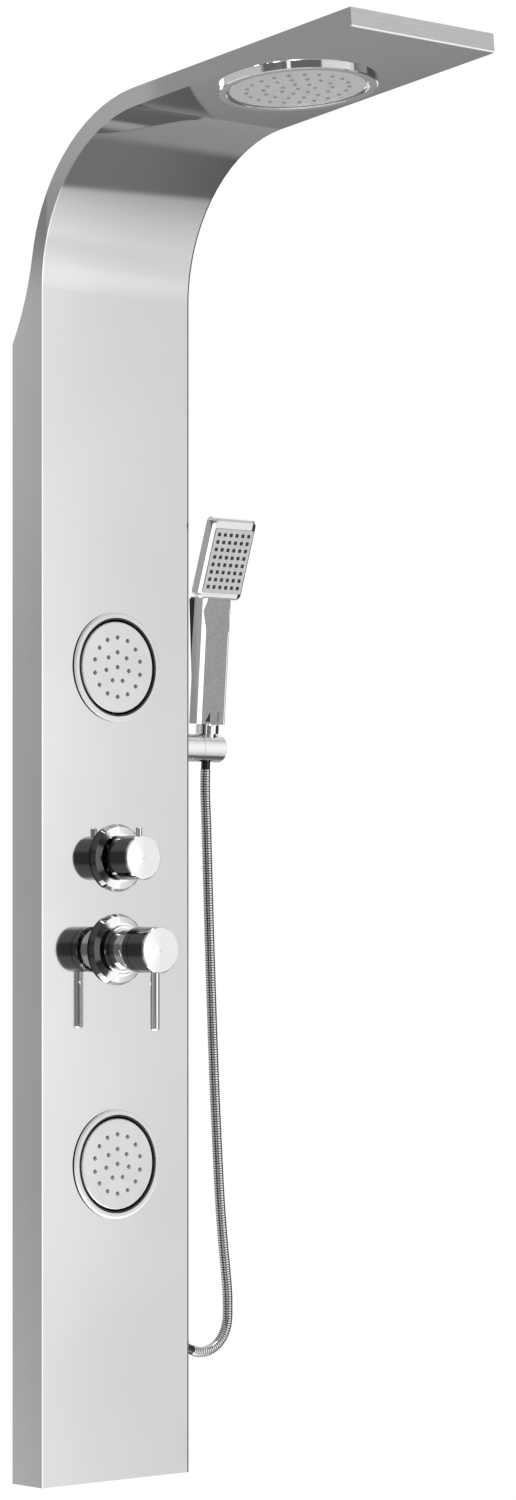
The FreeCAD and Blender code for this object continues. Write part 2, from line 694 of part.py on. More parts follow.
def make_rain_head():
    ring, bore, ledge = dim.rain_ring_radius, dim.rain_ring_bore, dim.rain_ledge
    high = dim.rain_ring_height
    bezel = turned("rain_bezel_ring", [
        (dim.rain_ledge_bore, 0), (ring, 0), (ring, high - 1), (ring - 1, high), (bore + 0.7, high),
        (bore, high - 0.7), (bore, ledge), (dim.rain_ledge_bore, ledge)])
    node("rain_bezel", seat(bezel, rain_frame))

    mat_low = ledge + 0.2
    mat_high = mat_low + dim.rain_mat
    plate_high = mat_high + dim.rain_plate
    plate = dim.rain_plate_radius
    disc = turned("rain_disc", [
        (0, mat_high), (plate - dim.rain_skirt, mat_high), (plate - dim.rain_skirt, ledge),
        (plate, ledge), (plate, plate_high - 0.6), (plate - 0.6, plate_high), (0, plate_high)])
    hole = dim.nozzle_base + dim.nozzle_gap
    face = nozzle_plate("rain_face", disc, ring_places(dim.rain_ring_pitch, RAIN_RINGS), hole,
                        mat_high - 1, plate_high + 1)
    node("rain_face", seat(face, rain_frame))

    mat_radius = plate - dim.rain_skirt - dim.fit
    mat = turned("rain_mat_disc", [(0, mat_low), (mat_radius, mat_low), (mat_radius, mat_high),
                                   (0, mat_high)])
    nozzles = nozzle_mat("rain_nozzle_mat", mat, ring_places(dim.rain_ring_pitch, RAIN_RINGS),
                         dim.nozzle_base, dim.nozzle_tip, mat_low, plate_high + dim.nozzle_proud)
    node("rain_nozzle_mat", seat(nozzles, rain_frame))

    wall = dim.rain_chamber_radius
    inner = wall - dim.rain_chamber_wall
    top = -(dim.arm_thickness - dim.skin - dim.fit)
    shoulder = -(dim.skin + dim.fit)
    cup = turned("rain_cup", [
        (0, top), (wall, top), (wall, shoulder - dim.plate), (dim.rain_chamber_flange, shoulder - dim.plate),
        (dim.rain_chamber_flange, shoulder), (wall, shoulder), (wall, mat_low), (inner, mat_low),
        (inner, top + dim.rain_chamber_wall), (0, top + dim.rain_chamber_wall)])
    middle = -dim.arm_thickness / 2
    stub = cylinder(dim.tube_radius, wall + dim.rain_stub_length - inner + 1,
                    (0, 1 - inner, middle), "-Y")
    bore_tool = cylinder(dim.tube_bore, wall + 2 * OVERRUN, (0, -inner / 2, middle), "-Y")
    clear = cylinder(inner, mat_low - top - dim.rain_chamber_wall, (0, 0, top + dim.rain_chamber_wall))
    whole = cut("rain_chamber", joined("rain_cup_stub", [cup, stub]),
                joined("rain_cup_room", [clear, bore_tool]))
    node("rain_chamber", seat(whole, rain_frame))

    joint = wall + dim.rain_stub_length
    nut = turned("rain_joint_nut", [
        (dim.tube_radius, 0), (dim.rain_nut_radius, 0), (dim.rain_nut_radius, dim.rain_nut_length),
        (dim.tube_radius, dim.rain_nut_length)])
    start = rain_point(dim.arm_thickness / 2, joint - dim.rain_nut_length / 2)
    node("rain_union_nut", seat(nut, (start, (1, 0, 0), -90 - dim.arm_tilt)))


# ---------------------------------------------------------------- body jets

def make_jet(prefix, height):
    """A ring and cup in the panel; a face that swivels on a ball in the cup's seat."""
    place = front(height)
    cup, bore = jet_cup_radius, dim.jet_bore
    shoulder = -(dim.skin + dim.gasket)
    floor = -dim.jet_cup_depth
    floor_back = floor - dim.jet_floor
    seat_back = floor_back - dim.jet_seat_depth
    spigot_end = -(dim.plumbing_depth + dim.jet_port_radius)
    ball_middle = dim.jet_proud - dim.jet_ball_depth
    flange = cup + dim.jet_flange_width

    ring = turned(prefix + "_ring", [
        (cup + dim.fit, 0), (dim.jet_ring_radius, 0), (dim.jet_ring_radius, dim.jet_ring_proud / 2),
        (dim.jet_ring_radius - 2, dim.jet_ring_proud), (cup + dim.fit, dim.jet_ring_proud)])
    node(prefix + "_bezel", seat(ring, place))

    cup_body = turned(prefix + "_cup", [
        (0, spigot_end), (dim.jet_spigot_radius, spigot_end), (dim.jet_spigot_radius, seat_back),
        (dim.jet_seat_radius, seat_back), (dim.jet_seat_radius, floor_back), (cup, floor_back),
        (cup, shoulder - dim.jet_flange), (flange, shoulder - dim.jet_flange), (flange, shoulder),
        (cup, shoulder), (cup, dim.jet_proud), (bore, dim.jet_proud), (bore, floor),
        (dim.jet_seat_radius, floor), (dim.jet_seat_radius, ball_middle - 2), (0, ball_middle - 2)])
    port_z = -dim.plumbing_depth
    port = cylinder(dim.jet_port_radius, dim.jet_port_length, (0, 0, port_z), "-X")
    bores = joined(prefix + "_water", [
        ball(dim.jet_ball_radius + dim.fit, (0, 0, ball_middle)),
        cylinder(dim.manifold_bore, ball_middle - port_z, (0, 0, port_z)),
        cylinder(dim.manifold_bore, dim.jet_port_length + OVERRUN, (0, 0, port_z), "-X")])
    socket = cut(prefix + "_socket", joined(prefix + "_casting", [cup_body, port]), bores)
    node(prefix + "_socket", seat(socket, place))

    face_back = dim.jet_proud - dim.jet_face_depth
    plate_back = dim.jet_proud - dim.jet_plate
    mat_back = plate_back - dim.jet_mat
    rim = dim.jet_face_radius
    inner = rim - 2
    disc = turned(prefix + "_disc", [
        (0, plate_back), (inner, plate_back), (inner, face_back), (rim, face_back),
        (rim, dim.jet_proud - 1), (rim - 1, dim.jet_proud), (0, dim.jet_proud)])
    spots = list(ring_places(dim.jet_ring_pitch, JET_RINGS))
    face = nozzle_plate(prefix + "_face", disc, spots, dim.nozzle_base + dim.nozzle_gap,
                        plate_back - 1, dim.jet_proud + 1)
    node(prefix + "_face", seat(face, place))

    mat_radius = inner - dim.fit
    mat = turned(prefix + "_mat", [(0, mat_back), (mat_radius, mat_back), (mat_radius, plate_back),
                                   (0, plate_back)])
    nozzles = nozzle_mat(prefix + "_nozzles", mat, spots, dim.nozzle_base, dim.nozzle_tip, mat_back,
                         dim.jet_proud + dim.nozzle_proud)
    node(prefix + "_nozzles", seat(nozzles, place))

    hub_front = face_back + dim.jet_hub_depth
    hub = turned(prefix + "_hub_disc", [
        (0, hub_front), (mat_radius, hub_front), (mat_radius, face_back), (dim.jet_hub_radius, face_back),
        (dim.jet_hub_radius, face_back - 2), (0, face_back - 2)])
    hub_cut = cut(prefix + "_hub", hub, ball(dim.jet_ball_radius + dim.fit, (0, 0, ball_middle)))
    node(prefix + "_hub", seat(hub_cut, place))

    swivel = cut(prefix + "_ball", ball(dim.jet_ball_radius, (0, 0, ball_middle)),
                 cylinder(dim.jet_ball_bore, 2 * OVERRUN, (0, 0, ball_middle - OVERRUN)))
    node(prefix + "_ball", seat(swivel, place))


def make_jet_gaskets():
    gaskets = []
    for height in (dim.upper_jet_height, dim.lower_jet_height):
        flange = jet_cup_radius + dim.jet_flange_width
        outline = [(jet_cup_radius + dim.fit, -dim.skin - dim.gasket), (flange, -dim.skin - dim.gasket),
                   (flange, -dim.skin), (jet_cup_radius + dim.fit, -dim.skin)]
        gaskets.append(seat(turned("jet_gasket", outline), front(height)))
    node("jet_gaskets", group("jet_gaskets", gaskets))


# ---------------------------------------------------------------- diverter

def make_diverter():
    place = front(dim.diverter_height)
    bush, flange = dim.diverter_bush_radius, dim.diverter_flange_radius
    high = dim.diverter_flange_height
    rose = turned("diverter_rose", [
        (bush + dim.fit, 0), (flange, 0), (flange, high / 4), (flange - 3, high * 3 / 4),
        (flange - 10, high), (bush + dim.fit, high)])
    node("diverter_flange", seat(rose, place))

    nut_start = high
    nut = turned("diverter_ring_nut", [
        (bush, nut_start), (dim.diverter_nut_radius, nut_start),
        (dim.diverter_nut_radius, nut_start + dim.diverter_nut_length),
        (bush, nut_start + dim.diverter_nut_length)])
    node("diverter_nut", seat(nut, place))

    depth = dim.diverter_body_depth
    valve = turned("diverter_valve", [
        (0, -depth), (dim.diverter_body_radius, -depth), (dim.diverter_body_radius, -dim.skin),
        (bush, -dim.skin), (bush, dim.diverter_bush_reach), (0, dim.diverter_bush_reach)])
    reach = dim.diverter_body_radius + dim.port_length
    ports = [
        cylinder(dim.port_radius - 1, reach, (0, 0, -dim.plumbing_depth), "-X"),
        cylinder(dim.port_radius - 1, reach, (0, 0, -dim.plumbing_depth), "+X"),
        cylinder(dim.port_radius, reach, (0, 0, -dim.side_depth), "+Y"),
        cylinder(dim.port_radius, reach, (0, 0, -dim.inlet_reach), "-Y"),
    ]
    spindle_end = -dim.side_depth
    room = dim.spindle_radius + dim.running_fit
    bores = [
        cylinder(room, dim.diverter_bush_reach - spindle_end + 1, (0, 0, spindle_end)),
        cylinder(dim.manifold_bore, reach + 1, (0, 0, -dim.plumbing_depth), "-X"),
        cylinder(dim.tube_bore, reach + 1, (0, 0, -dim.plumbing_depth), "+X"),
        cylinder(dim.tube_bore, reach + 1, (0, 0, -dim.side_depth), "+Y"),
        cylinder(dim.manifold_bore, reach + 1, (0, 0, -dim.inlet_reach), "-Y"),
    ]
    body = cut("diverter_body", joined("diverter_casting", [valve, *ports]),
               joined("diverter_water", bores))
    node("diverter_body", seat(body, place))

    knob, start, end = dim.diverter_knob_radius, dim.diverter_knob_start, dim.diverter_knob_end
    cavity = knob - dim.diverter_wall
    cavity_end = start + dim.diverter_cavity_depth
    spindle_tip = cavity_end + 10
    spindle = turned("diverter_shaft", [
        (0, spindle_end + 1), (dim.spindle_radius, spindle_end + 1), (dim.spindle_radius, spindle_tip),
        (0, spindle_tip)])
    node("diverter_spindle", seat(spindle, place))

    barrel = turned("diverter_barrel", [
        (0, cavity_end), (cavity, cavity_end), (cavity, start), (knob - 0.8, start),
        (knob, start + 0.8), (knob, end), (0, end)])
    pin_hole = cylinder(dim.diverter_pin_radius, 2 * OVERRUN, (0, knob - 5, dim.diverter_pin_reach), "+Y")
    screw_place = (0, 0, cavity_end + 5)
    holes = joined("diverter_knob_holes", [
        cylinder(dim.spindle_radius, 10, (0, 0, cavity_end)), pin_hole,
        cylinder(dim.screw_radius, 2 * OVERRUN, screw_place, "-Y")])
    node("diverter_knob", seat(cut("diverter_knob", barrel, holes), place))

    cap = turned("diverter_cap_disc", [
        (0, end), (knob, end), (knob, end + dim.diverter_cap / 2), (knob - 1, end + dim.diverter_cap * 0.85),
        (0, end + dim.diverter_cap)])
    node("diverter_cap", seat(cap, place))

    pin = turned("diverter_stub", [
        (0, knob - 5), (dim.diverter_pin_radius, knob - 5),
        (dim.diverter_pin_radius, dim.diverter_pin_tip - 0.8),
        (dim.diverter_pin_radius - 0.8, dim.diverter_pin_tip), (0, dim.diverter_pin_tip)])
    base = (0, -(dim.column_depth + dim.diverter_pin_reach), level(dim.diverter_height))
    node("diverter_pin", seat(pin, (base, *ALONG["+Z"])))

    screw = turned("diverter_grub", [
        (0, dim.spindle_radius), (dim.screw_radius, dim.spindle_radius), (dim.screw_radius, knob - 1),
        (0, knob - 1)])
    base = (0, -(dim.column_depth + screw_place[2]), level(dim.diverter_height))
    node("diverter_grub_screw", seat(screw, (base, *ALONG["-Z"])))


# ---------------------------------------------------------------- mixer

def make_mixer():
    place = front(dim.mixer_height)
    dome, pivot = dim.dome_radius, dim.pivot_reach
    flange, high = dim.mixer_flange_radius, dim.mixer_flange_height
    rose = turned("mixer_rose", [
        (dome + dim.fit, 0), (flange, 0), (flange, high / 4), (flange - 3, high * 3 / 4),
        (flange - 9, high), (dim.collar_radius, high), (dim.collar_radius, dim.collar_reach - 1),
        (dim.collar_radius - 1, dim.collar_reach), (dome + dim.fit, dim.collar_reach)])
    node("mixer_flange", seat(rose, place))

    mouth = dim.dome_mouth
    mouth_radius = root(dome * dome - mouth * mouth)
    inner = dome - dim.dome_wall
    inner_mouth = root(inner * inner - mouth * mouth)
    sleeve = turned("mixer_sleeve", [
        (dome, 0), (dome, pivot, dome), (mouth_radius, pivot + mouth), (inner_mouth, pivot + mouth, -inner),
        (inner, pivot), (inner, 0)])
    node("mixer_sleeve", seat(sleeve, place))

    body_radius, depth = dim.mixer_body_radius, dim.mixer_body_depth
    cartridge = dim.cartridge_radius
    casting = turned("mixer_cup", [
        (0, -depth), (body_radius, -depth), (body_radius, -dim.skin), (cartridge, -dim.skin),
        (cartridge, -(dim.cartridge_depth + dim.skin)), (0, -(dim.cartridge_depth + dim.skin))])
    inlet, mouth_depth, water_depth = dim.inlet_offset, dim.inlet_mouth, dim.inlet_reach
    stub = dim.inlet_stub_radius
    water = inlet + dim.inlet_bore / 2 + 1
    stubs = [cylinder(dim.port_radius, dim.port_length + 4, (0, body_radius - 4, -water_depth), "+Y")]
    bores = [cylinder(dim.manifold_bore, body_radius + dim.port_length + 1, (0, 0, -water_depth), "+Y"),
             cylinder(dim.inlet_bore / 2, 2 * water, (-water, 0, -water_depth), "+X")]
    for x, along in ((-inlet, "+X"), (inlet, "-X")):
        mouth_place = (x, 0, -mouth_depth)
        stubs.append(cylinder(stub, inlet - cartridge - 1, (x, 0, -water_depth), along))
        stubs.append(cylinder(dim.inlet_radius, mouth_depth - water_depth + stub + 1, mouth_place))
        bores.append(cylinder(dim.inlet_bore, dim.inlet_thread_length, mouth_place))
        bores.append(cylinder(dim.tube_bore, mouth_depth - water_depth, mouth_place))
    body = cut("mixer_body", joined("mixer_casting", [casting, *stubs]), joined("mixer_water", bores))
    node("mixer_body", seat(body, place))

    guide_start = pivot - dim.ear_radius - dim.guide_base - 4
    cartridge_top = guide_start - dim.fit
    room = dim.guide_tail_radius + dim.running_fit
    tail_end = guide_start - dim.guide_tail_depth
    valve = turned("mixer_valve", [
        (0, -(dim.cartridge_depth + dim.skin)), (cartridge, -(dim.cartridge_depth + dim.skin)),
        (cartridge, cartridge_top), (room, cartridge_top), (room, tail_end - dim.fit),
        (0, tail_end - dim.fit)])
    node("mixer_cartridge", seat(valve, place))

    base_top = guide_start + dim.guide_base
    guide = turned("mixer_guide_base", [
        (0, tail_end), (dim.guide_tail_radius, tail_end), (dim.guide_tail_radius, guide_start),
        (dim.guide_radius, guide_start), (dim.guide_radius, base_top), (0, base_top)])
    ear_x = dim.eye_width / 2 + dim.ear_gap
    ears = []
    for side in (0, 1):
        x = ear_x if side else -ear_x - dim.ear_thickness
        ears.append(block(dim.ear_thickness, 2 * dim.ear_radius, pivot - base_top + 1,
                          (x, -dim.ear_radius, base_top - 1)))
        ears.append(cylinder(dim.ear_radius, dim.ear_thickness, (x, 0, pivot), "+X"))
    pin_reach = ear_x + dim.ear_thickness
    pin_tool = cylinder(dim.hinge_pin_radius, 2 * pin_reach, (-pin_reach, 0, pivot), "+X")
    node("mixer_guide", seat(cut("mixer_guide", joined("mixer_fork", [guide, *ears]), pin_tool), place))

    pin = cylinder(dim.hinge_pin_radius, 2 * pin_reach, (-pin_reach, 0, pivot), "+X")
    node("mixer_hinge_pin", seat(group("mixer_hinge_pin", [pin]), place))

    handle, start, end = dim.handle_radius, dim.handle_start, dim.handle_end
    cavity_end = start + dim.handle_cavity_depth
    stem_end = cavity_end + 10
    groove = start + dim.groove_place
    stem = joined("mixer_stem_blank", [
        cylinder(dim.eye_radius, dim.eye_width, (-dim.eye_width / 2, 0, pivot), "+X"),
        cylinder(dim.stem_radius, stem_end - pivot, (0, 0, pivot))])
    eye = cylinder(dim.hinge_pin_radius + dim.running_fit, 2 * dim.eye_width,
                   (-dim.eye_width, 0, pivot), "+X")
    node("mixer_stem", seat(cut("mixer_stem", stem, eye), place))

    barrel = turned("mixer_barrel", [
        (0, cavity_end), (dim.handle_bore, cavity_end), (dim.handle_bore, start), (handle - 0.6, start),
        (handle, start + 0.6), (handle, groove), (handle - dim.groove_depth, groove),
        (handle - dim.groove_depth, groove + dim.groove_width), (handle, groove + dim.groove_width),
        (handle, end), (0, end)])
    lever_reach = end - dim.lever_setback
    lever_start = handle - 8
    holes = joined("mixer_handle_holes", [
        cylinder(dim.stem_radius, stem_end - cavity_end, (0, 0, cavity_end)),
        cylinder(dim.lever_radius, 2 * OVERRUN, (0, -lever_start, lever_reach), "-Y")])
    node("mixer_handle", seat(cut("mixer_handle", barrel, holes), place))

    cap = turned("mixer_cap_disc", [
        (0, end), (handle, end), (handle, end + dim.handle_cap / 2),
        (handle - 1, end + dim.handle_cap * 0.85),
        (0, end + dim.handle_cap)])
    node("mixer_cap", seat(cap, place))

    lever = turned("mixer_rod", [
        (0, lever_start), (dim.lever_radius, lever_start), (dim.lever_radius, dim.lever_tip - 1),
        (dim.lever_radius - 1, dim.lever_tip), (0, dim.lever_tip)])
    base = (0, -(dim.column_depth + lever_reach), level(dim.mixer_height))
    node("mixer_lever", seat(lever, (base, *ALONG["-Z"])))


# ---------------------------------------------------------------- water tubes

def make_tubes():
    plumbing_y = dim.plumbing_depth - dim.column_depth
    side_y = dim.side_depth - dim.column_depth
    link_y = dim.inlet_reach - dim.column_depth
    diverter_port = dim.diverter_body_radius + dim.port_length

    link_low = level(dim.mixer_height) + dim.mixer_body_radius + dim.port_length
    link_high = level(dim.diverter_height) - diverter_port
    link = cut("mixer_link_tube", cylinder(dim.manifold_radius, link_high - link_low, (0, link_y, link_low)),
               cylinder(dim.manifold_bore, link_high - link_low, (0, link_y, link_low)))
    node("mixer_link_tube", link)

    low, high = level(dim.lower_jet_height), level(dim.upper_jet_height)
    x = -dim.manifold_offset
    outer = [cylinder(dim.riser_radius, high - low + 2 * dim.riser_radius,
                      (x, plumbing_y, low - dim.riser_radius))]
    inner = [cylinder(dim.riser_bore, high - low, (x, plumbing_y, low))]
    for z, reach in ((low, dim.jet_port_length), (high, dim.jet_port_length),
                     (level(dim.diverter_height), diverter_port)):
        outer.append(cylinder(dim.manifold_radius, dim.manifold_offset - reach, (x, plumbing_y, z), "+X"))
        inner.append(cylinder(dim.manifold_bore, dim.manifold_offset - reach + 1, (x, plumbing_y, z), "+X"))
    node("jet_manifold", cut("jet_manifold", joined("manifold_outside", outer),
                             joined("manifold_inside", inner)))

    # The rain tube climbs beside the upper jet, jogs to the middle and follows the bend.
    middle_y = dim.arm_thickness / 2 - dim.column_depth
    middle_radius = dim.bend_radius + dim.arm_thickness / 2
    across = dim.rain_tube_offset
    jog_low = level(dim.jog_start)
    corner = bend_z + middle_radius * tangent(bend_turn / 2)
    end = rain_point(dim.arm_thickness / 2, dim.rain_chamber_radius + dim.rain_stub_length)
    diverter_z = level(dim.diverter_height)
    rain = tube("rain_feed_tube", [
        (diverter_port, plumbing_y, diverter_z), (across + dim.tube_bend, plumbing_y, diverter_z),
        (across + dim.tube_bend, plumbing_y, jog_low), (0, middle_y, jog_low + dim.jog_length),
        (0, middle_y, corner), end],
        [dim.tube_bend, 4 * dim.tube_bend, 4 * dim.tube_bend, middle_radius],
        dim.tube_radius, dim.tube_bore)
    node("rain_feed_tube", rain)

    top = diverter_z + diverter_port + 2 * dim.tube_bend
    outlet_z = level(dim.outlet_height) + dim.outlet_body_radius
    hand = tube("hand_feed_tube", [
        (0, side_y, diverter_z + diverter_port), (0, side_y, top), (dim.hand_tube_offset, side_y, top),
        (dim.hand_tube_offset, side_y, outlet_z)],
        [dim.tube_bend, dim.tube_bend], dim.tube_radius, dim.tube_bore)
    node("hand_feed_tube", hand)


# ---------------------------------------------------------------- hand shower and its holder

holder_y = dim.side_depth - dim.column_depth
holder_z = level(dim.holder_height)
socket_x = half_width + dim.socket_reach
side_frame = ((half_width, holder_y, holder_z), *ALONG["+X"])


def on_socket(up, ahead=0):
    """A point on the leaning socket axis, above the holder's axis and ahead of it."""
    lean = dim.socket_lean
    return (socket_x, holder_y - up * sine(lean) - ahead * cosine(lean),
            holder_z + up * cosine(lean) - ahead * sine(lean))


def on_head(along, ahead):
    """A point of the spray head, along it from the neck and ahead of its middle plane."""
    lean = dim.socket_lean + dim.head_lean
    x, y, z = on_socket(dim.neck)
    return x, y - along * sine(lean) - ahead * cosine(lean), z + along * cosine(lean) - ahead * sine(lean)


def make_holder():
    radius, joint, end = dim.holder_radius, dim.holder_joint, dim.holder_end
    spigot = dim.holder_spigot_radius
    outline = [(0, -dim.holder_spigot_length), (spigot, -dim.holder_spigot_length), (spigot, 0),
               (radius, 0), (radius, joint), (0, joint)]
    pin_hole = cylinder(dim.holder_pin_radius, joint, (0, 0, dim.holder_pin_start))
    node("holder_base", seat(cut("holder_base", turned("holder_arm", outline), pin_hole), side_frame))

    nut = turned("holder_ring_nut", [
        (spigot, -(dim.skin + dim.holder_nut_length)),
        (dim.holder_nut_radius, -(dim.skin + dim.holder_nut_length)),
        (dim.holder_nut_radius, -dim.skin), (spigot, -dim.skin)])
    node("holder_nut", seat(nut, side_frame))

    pin = turned("holder_bolt", [
        (0, dim.holder_pin_start), (dim.holder_pin_radius, dim.holder_pin_start),
        (dim.holder_pin_radius, dim.holder_pin_end), (0, dim.holder_pin_end)])
    node("holder_pivot_pin", seat(pin, side_frame))

    dome = dim.holder_dome
    round_nose = (dome * dome + radius * radius) / (2 * dome)
    head = turned("holder_barrel", [
        (0, joint + dim.fit), (radius, joint + dim.fit), (radius, end - dome, round_nose), (0, end)])
    hole = seat(cylinder(dim.holder_pin_radius + dim.running_fit, dim.holder_pin_end - joint + 0.2,
                         (0, 0, 0)), ((half_width + joint, holder_y, holder_z), *ALONG["+X"]))
    run = 2 * (radius + 2)
    slope = (dim.socket_top - dim.socket_bottom) / (2 * radius)
    widen = slope * 2
    socket = seat(cone(dim.socket_bottom - widen, dim.socket_top + widen, run),
                  (on_socket(-run / 2), (1, 0, 0), dim.socket_lean))
    placed = seat(head, side_frame)
    node("holder_head", cut("holder_head", placed, hole, socket))


def hand_frame(up=0, ahead=0):
    return on_socket(up, ahead), (1, 0, 0), dim.socket_lean


def head_frame(along, ahead):
    return on_head(along, ahead), (1, 0, 0), dim.socket_lean + dim.head_lean


def make_hand_shower():
    radius = dim.holder_radius
    slope = (dim.socket_top - dim.socket_bottom) / (2 * radius)
    middle = (dim.socket_top + dim.socket_bottom) / 2 - dim.cone_gap
    collar = dim.cone_nut_collar
    nut_foot = -dim.cone_nut_foot
    nut = turned("cone_nut", [
        (dim.hose_bore, nut_foot), (middle + slope * nut_foot, nut_foot),
        (middle + slope * (radius + 0.5), radius + 0.5), (collar, radius + 0.5),
        (collar, dim.handle_foot - 1), (collar - 1, dim.handle_foot), (dim.hose_bore, dim.handle_foot)])
    node("hose_cone_nut", seat(nut, hand_frame()))

    foot_z, neck, lean = dim.handle_foot, dim.neck, dim.head_lean
    deep, slim, head = dim.grip_depth / 2, dim.neck_depth / 2, dim.head_depth / 2
    top_y = -dim.head_length * sine(lean)
    top_z = neck + dim.head_length * cosine(lean)
    side = [
        (deep, foot_z), (slim, neck - 15), (head * cosine(lean), neck + head * sine(lean)),
        (top_y + head * cosine(lean), top_z + head * sine(lean)),
        (top_y - head * cosine(lean), top_z - head * sine(lean)),
        (-head * cosine(lean), neck - head * sine(lean)), (-slim, neck - 22), (-deep, foot_z)]
    side_body = seat(padded("handset_side", side, dim.head_width + OVERRUN, "YZ_Plane"),
                     (shifted(on_socket(0), -(dim.head_width + OVERRUN) / 2), (1, 0, 0), dim.socket_lean))
    wide, bevel = dim.grip_width / 2, dim.grip_bevel
    section = [
        (wide, deep - bevel), (wide - bevel, deep), (bevel - wide, deep), (-wide, deep - bevel),
        (-wide, bevel - slim), (bevel - wide, -slim), (wide - bevel, -slim), (wide, bevel - slim)]
    grip = seat(padded("handset_grip", section, neck + dim.head_foot - foot_z, "XY_Plane"),
                hand_frame(foot_z))
    face_w, face_h, depth = dim.face_width, dim.face_height, dim.cavity_depth
    lean_all = dim.socket_lean + lean
    half, corner = dim.head_width / 2, dim.head_corner
    low = dim.head_foot - dim.face_centre
    high = dim.head_length - dim.face_centre
    face_frame = (on_head(dim.face_centre, 0), (1, 0, 0), 90 + lean_all)
    rim = head - dim.head_bevel
    slab = padded("handset_slab", rounded(half, low, high, corner), head + rim, "XY_Plane")
    crown = tapered("handset_crown", rounded(half, low, high, corner),
                    rounded(half - dim.head_bevel, low + dim.head_bevel, high - dim.head_bevel,
                            corner - dim.head_bevel), rim, head)
    slab.Placement.Base = Vector(0, 0, -head.value)
    bind(slab, ".Placement.Base.z", -head)
    plate_head = seat(group("handset_head", [joined("handset_head_blank", [slab, crown])]), face_frame)
    front_blank = common("handset_front", side_body, joined("handset_whole", [grip, plate_head]))

    # The grip thickens towards the wall under the head.
    top = neck + dim.head_foot
    broad = 2 * (wide - dim.spine_margin)
    swell = [(slim - 1, dim.spine_foot), (dim.spine_depth, top - 3), (dim.spine_depth - 3, top),
             (0, top), (0, neck - 10)]
    spine = seat(padded("handset_spine", swell, broad, "YZ_Plane"),
                 (shifted(on_socket(0), -broad / 2), (1, 0, 0), dim.socket_lean))
    blank = joined("handset_blank", [front_blank, spine])
    fit = dim.fit
    room = padded("handset_room", rounded(face_w / 2 + fit, -face_h / 2 - fit, face_h / 2 + fit,
                                          dim.face_corner + fit), depth + OVERRUN, "XY_Plane")
    room_frame = (on_head(dim.face_centre, head - depth), (1, 0, 0), 90 + lean_all)
    bore = dim.hose_bore
    way = seat(cylinder(bore, neck - foot_z + 1), hand_frame(foot_z - 1))
    branch = seat(cylinder(bore - 0.5, dim.face_centre - face_h / 2 + 4), head_frame(-2, 0))
    notch = dim.grip_notch
    marks = []
    for side_of in (-1, 1):
        outline = [(-notch / 2, 0), (notch / 2, 0), (0, dim.notch_height)]
        mark = padded("handset_notch", outline, dim.notch_depth + 1, "XZ_Plane")
        x, y, z = on_socket(foot_z + 4, deep + 1 - dim.notch_depth)
        marks.append(seat(mark, ((x + wide * 0.62 * side_of, y, z), (1, 0, 0), dim.socket_lean)))
    node("handset_body", cut("handset_body", blank, seat(room, room_frame),
                             joined("handset_water", [way, branch]), *marks))

    # The face and its mat lie in the frame of the head, whose Z is turned to point ahead.
    front_frame = (on_head(dim.face_centre, head), (1, 0, 0), 90 + lean_all)
    plate_low = dim.face_proud - dim.face_plate
    mat_low = plate_low - dim.spray_mat
    outline = rounded(face_w / 2, -face_h / 2, face_h / 2, dim.face_corner)
    plate = padded("handset_plate", outline, dim.face_plate, "XY_Plane")
    bind(plate, ".Placement.Base.z", plate_low)
    gap = dim.nozzle_gap
    pad = dim.spray_pad
    holes = [block(pad + 2 * gap, pad + 2 * gap, dim.face_plate + 2,
                   (x - pad / 2 - gap, y - pad / 2 - gap, plate_low - 1)) for x, y in spray_places()]
    node("handset_face", seat(cut("handset_face", plate, *holes), front_frame))
    mat = padded("handset_mat", outline, dim.spray_mat, "XY_Plane")
    bind(mat, ".Placement.Base.z", mat_low)
    pads = [block(pad, pad, dim.face_proud + dim.spray_proud - plate_low + 0.5,
                  (x - pad / 2, y - pad / 2, plate_low - 0.5)) for x, y in spray_places()]
    node("handset_nozzles", seat(joined("handset_nozzles", [mat, *pads]), front_frame))


def rounded(half, low, high, corner):
    """A rectangle with round corners, even about its middle line."""
    return [
        (half, low + corner), (half, high - corner, corner), (half - corner, high),
        (corner - half, high, corner), (-half, high - corner), (-half, low + corner, corner),
        (corner - half, low), (half - corner, low, corner)]


def shifted(point, across):
    return point[0] + across, point[1], point[2]


# ---------------------------------------------------------------- hose and outlet

outlet_z = level(dim.outlet_height)


def on_spout(along):
    """A point on the outlet's sloping axis, measured from the side of the column."""
    angle = dim.outlet_angle
    return half_width + along * cosine(angle), holder_y, outlet_z - along * sine(angle)


# The hanging hose's route between its two nuts, from the column's middle, wall and foot.
HOSE_ROUTE = (
    (149.4, -21.3, 700), (151.8, -20.8, 640), (155.4, -20.8, 545), (159.8, -21.5, 430),
    (163.9, -22.5, 345), (167.2, -23.3, 285), (171.0, -24, 241), (174.6, -24.6, 208),
    (176.6, -25, 187), (176.8, -25, 169), (176.4, -25, 153.7), (170.4, -25, 139.6),
    (159.2, -25, 129.1), (144.9, -25, 124),
)


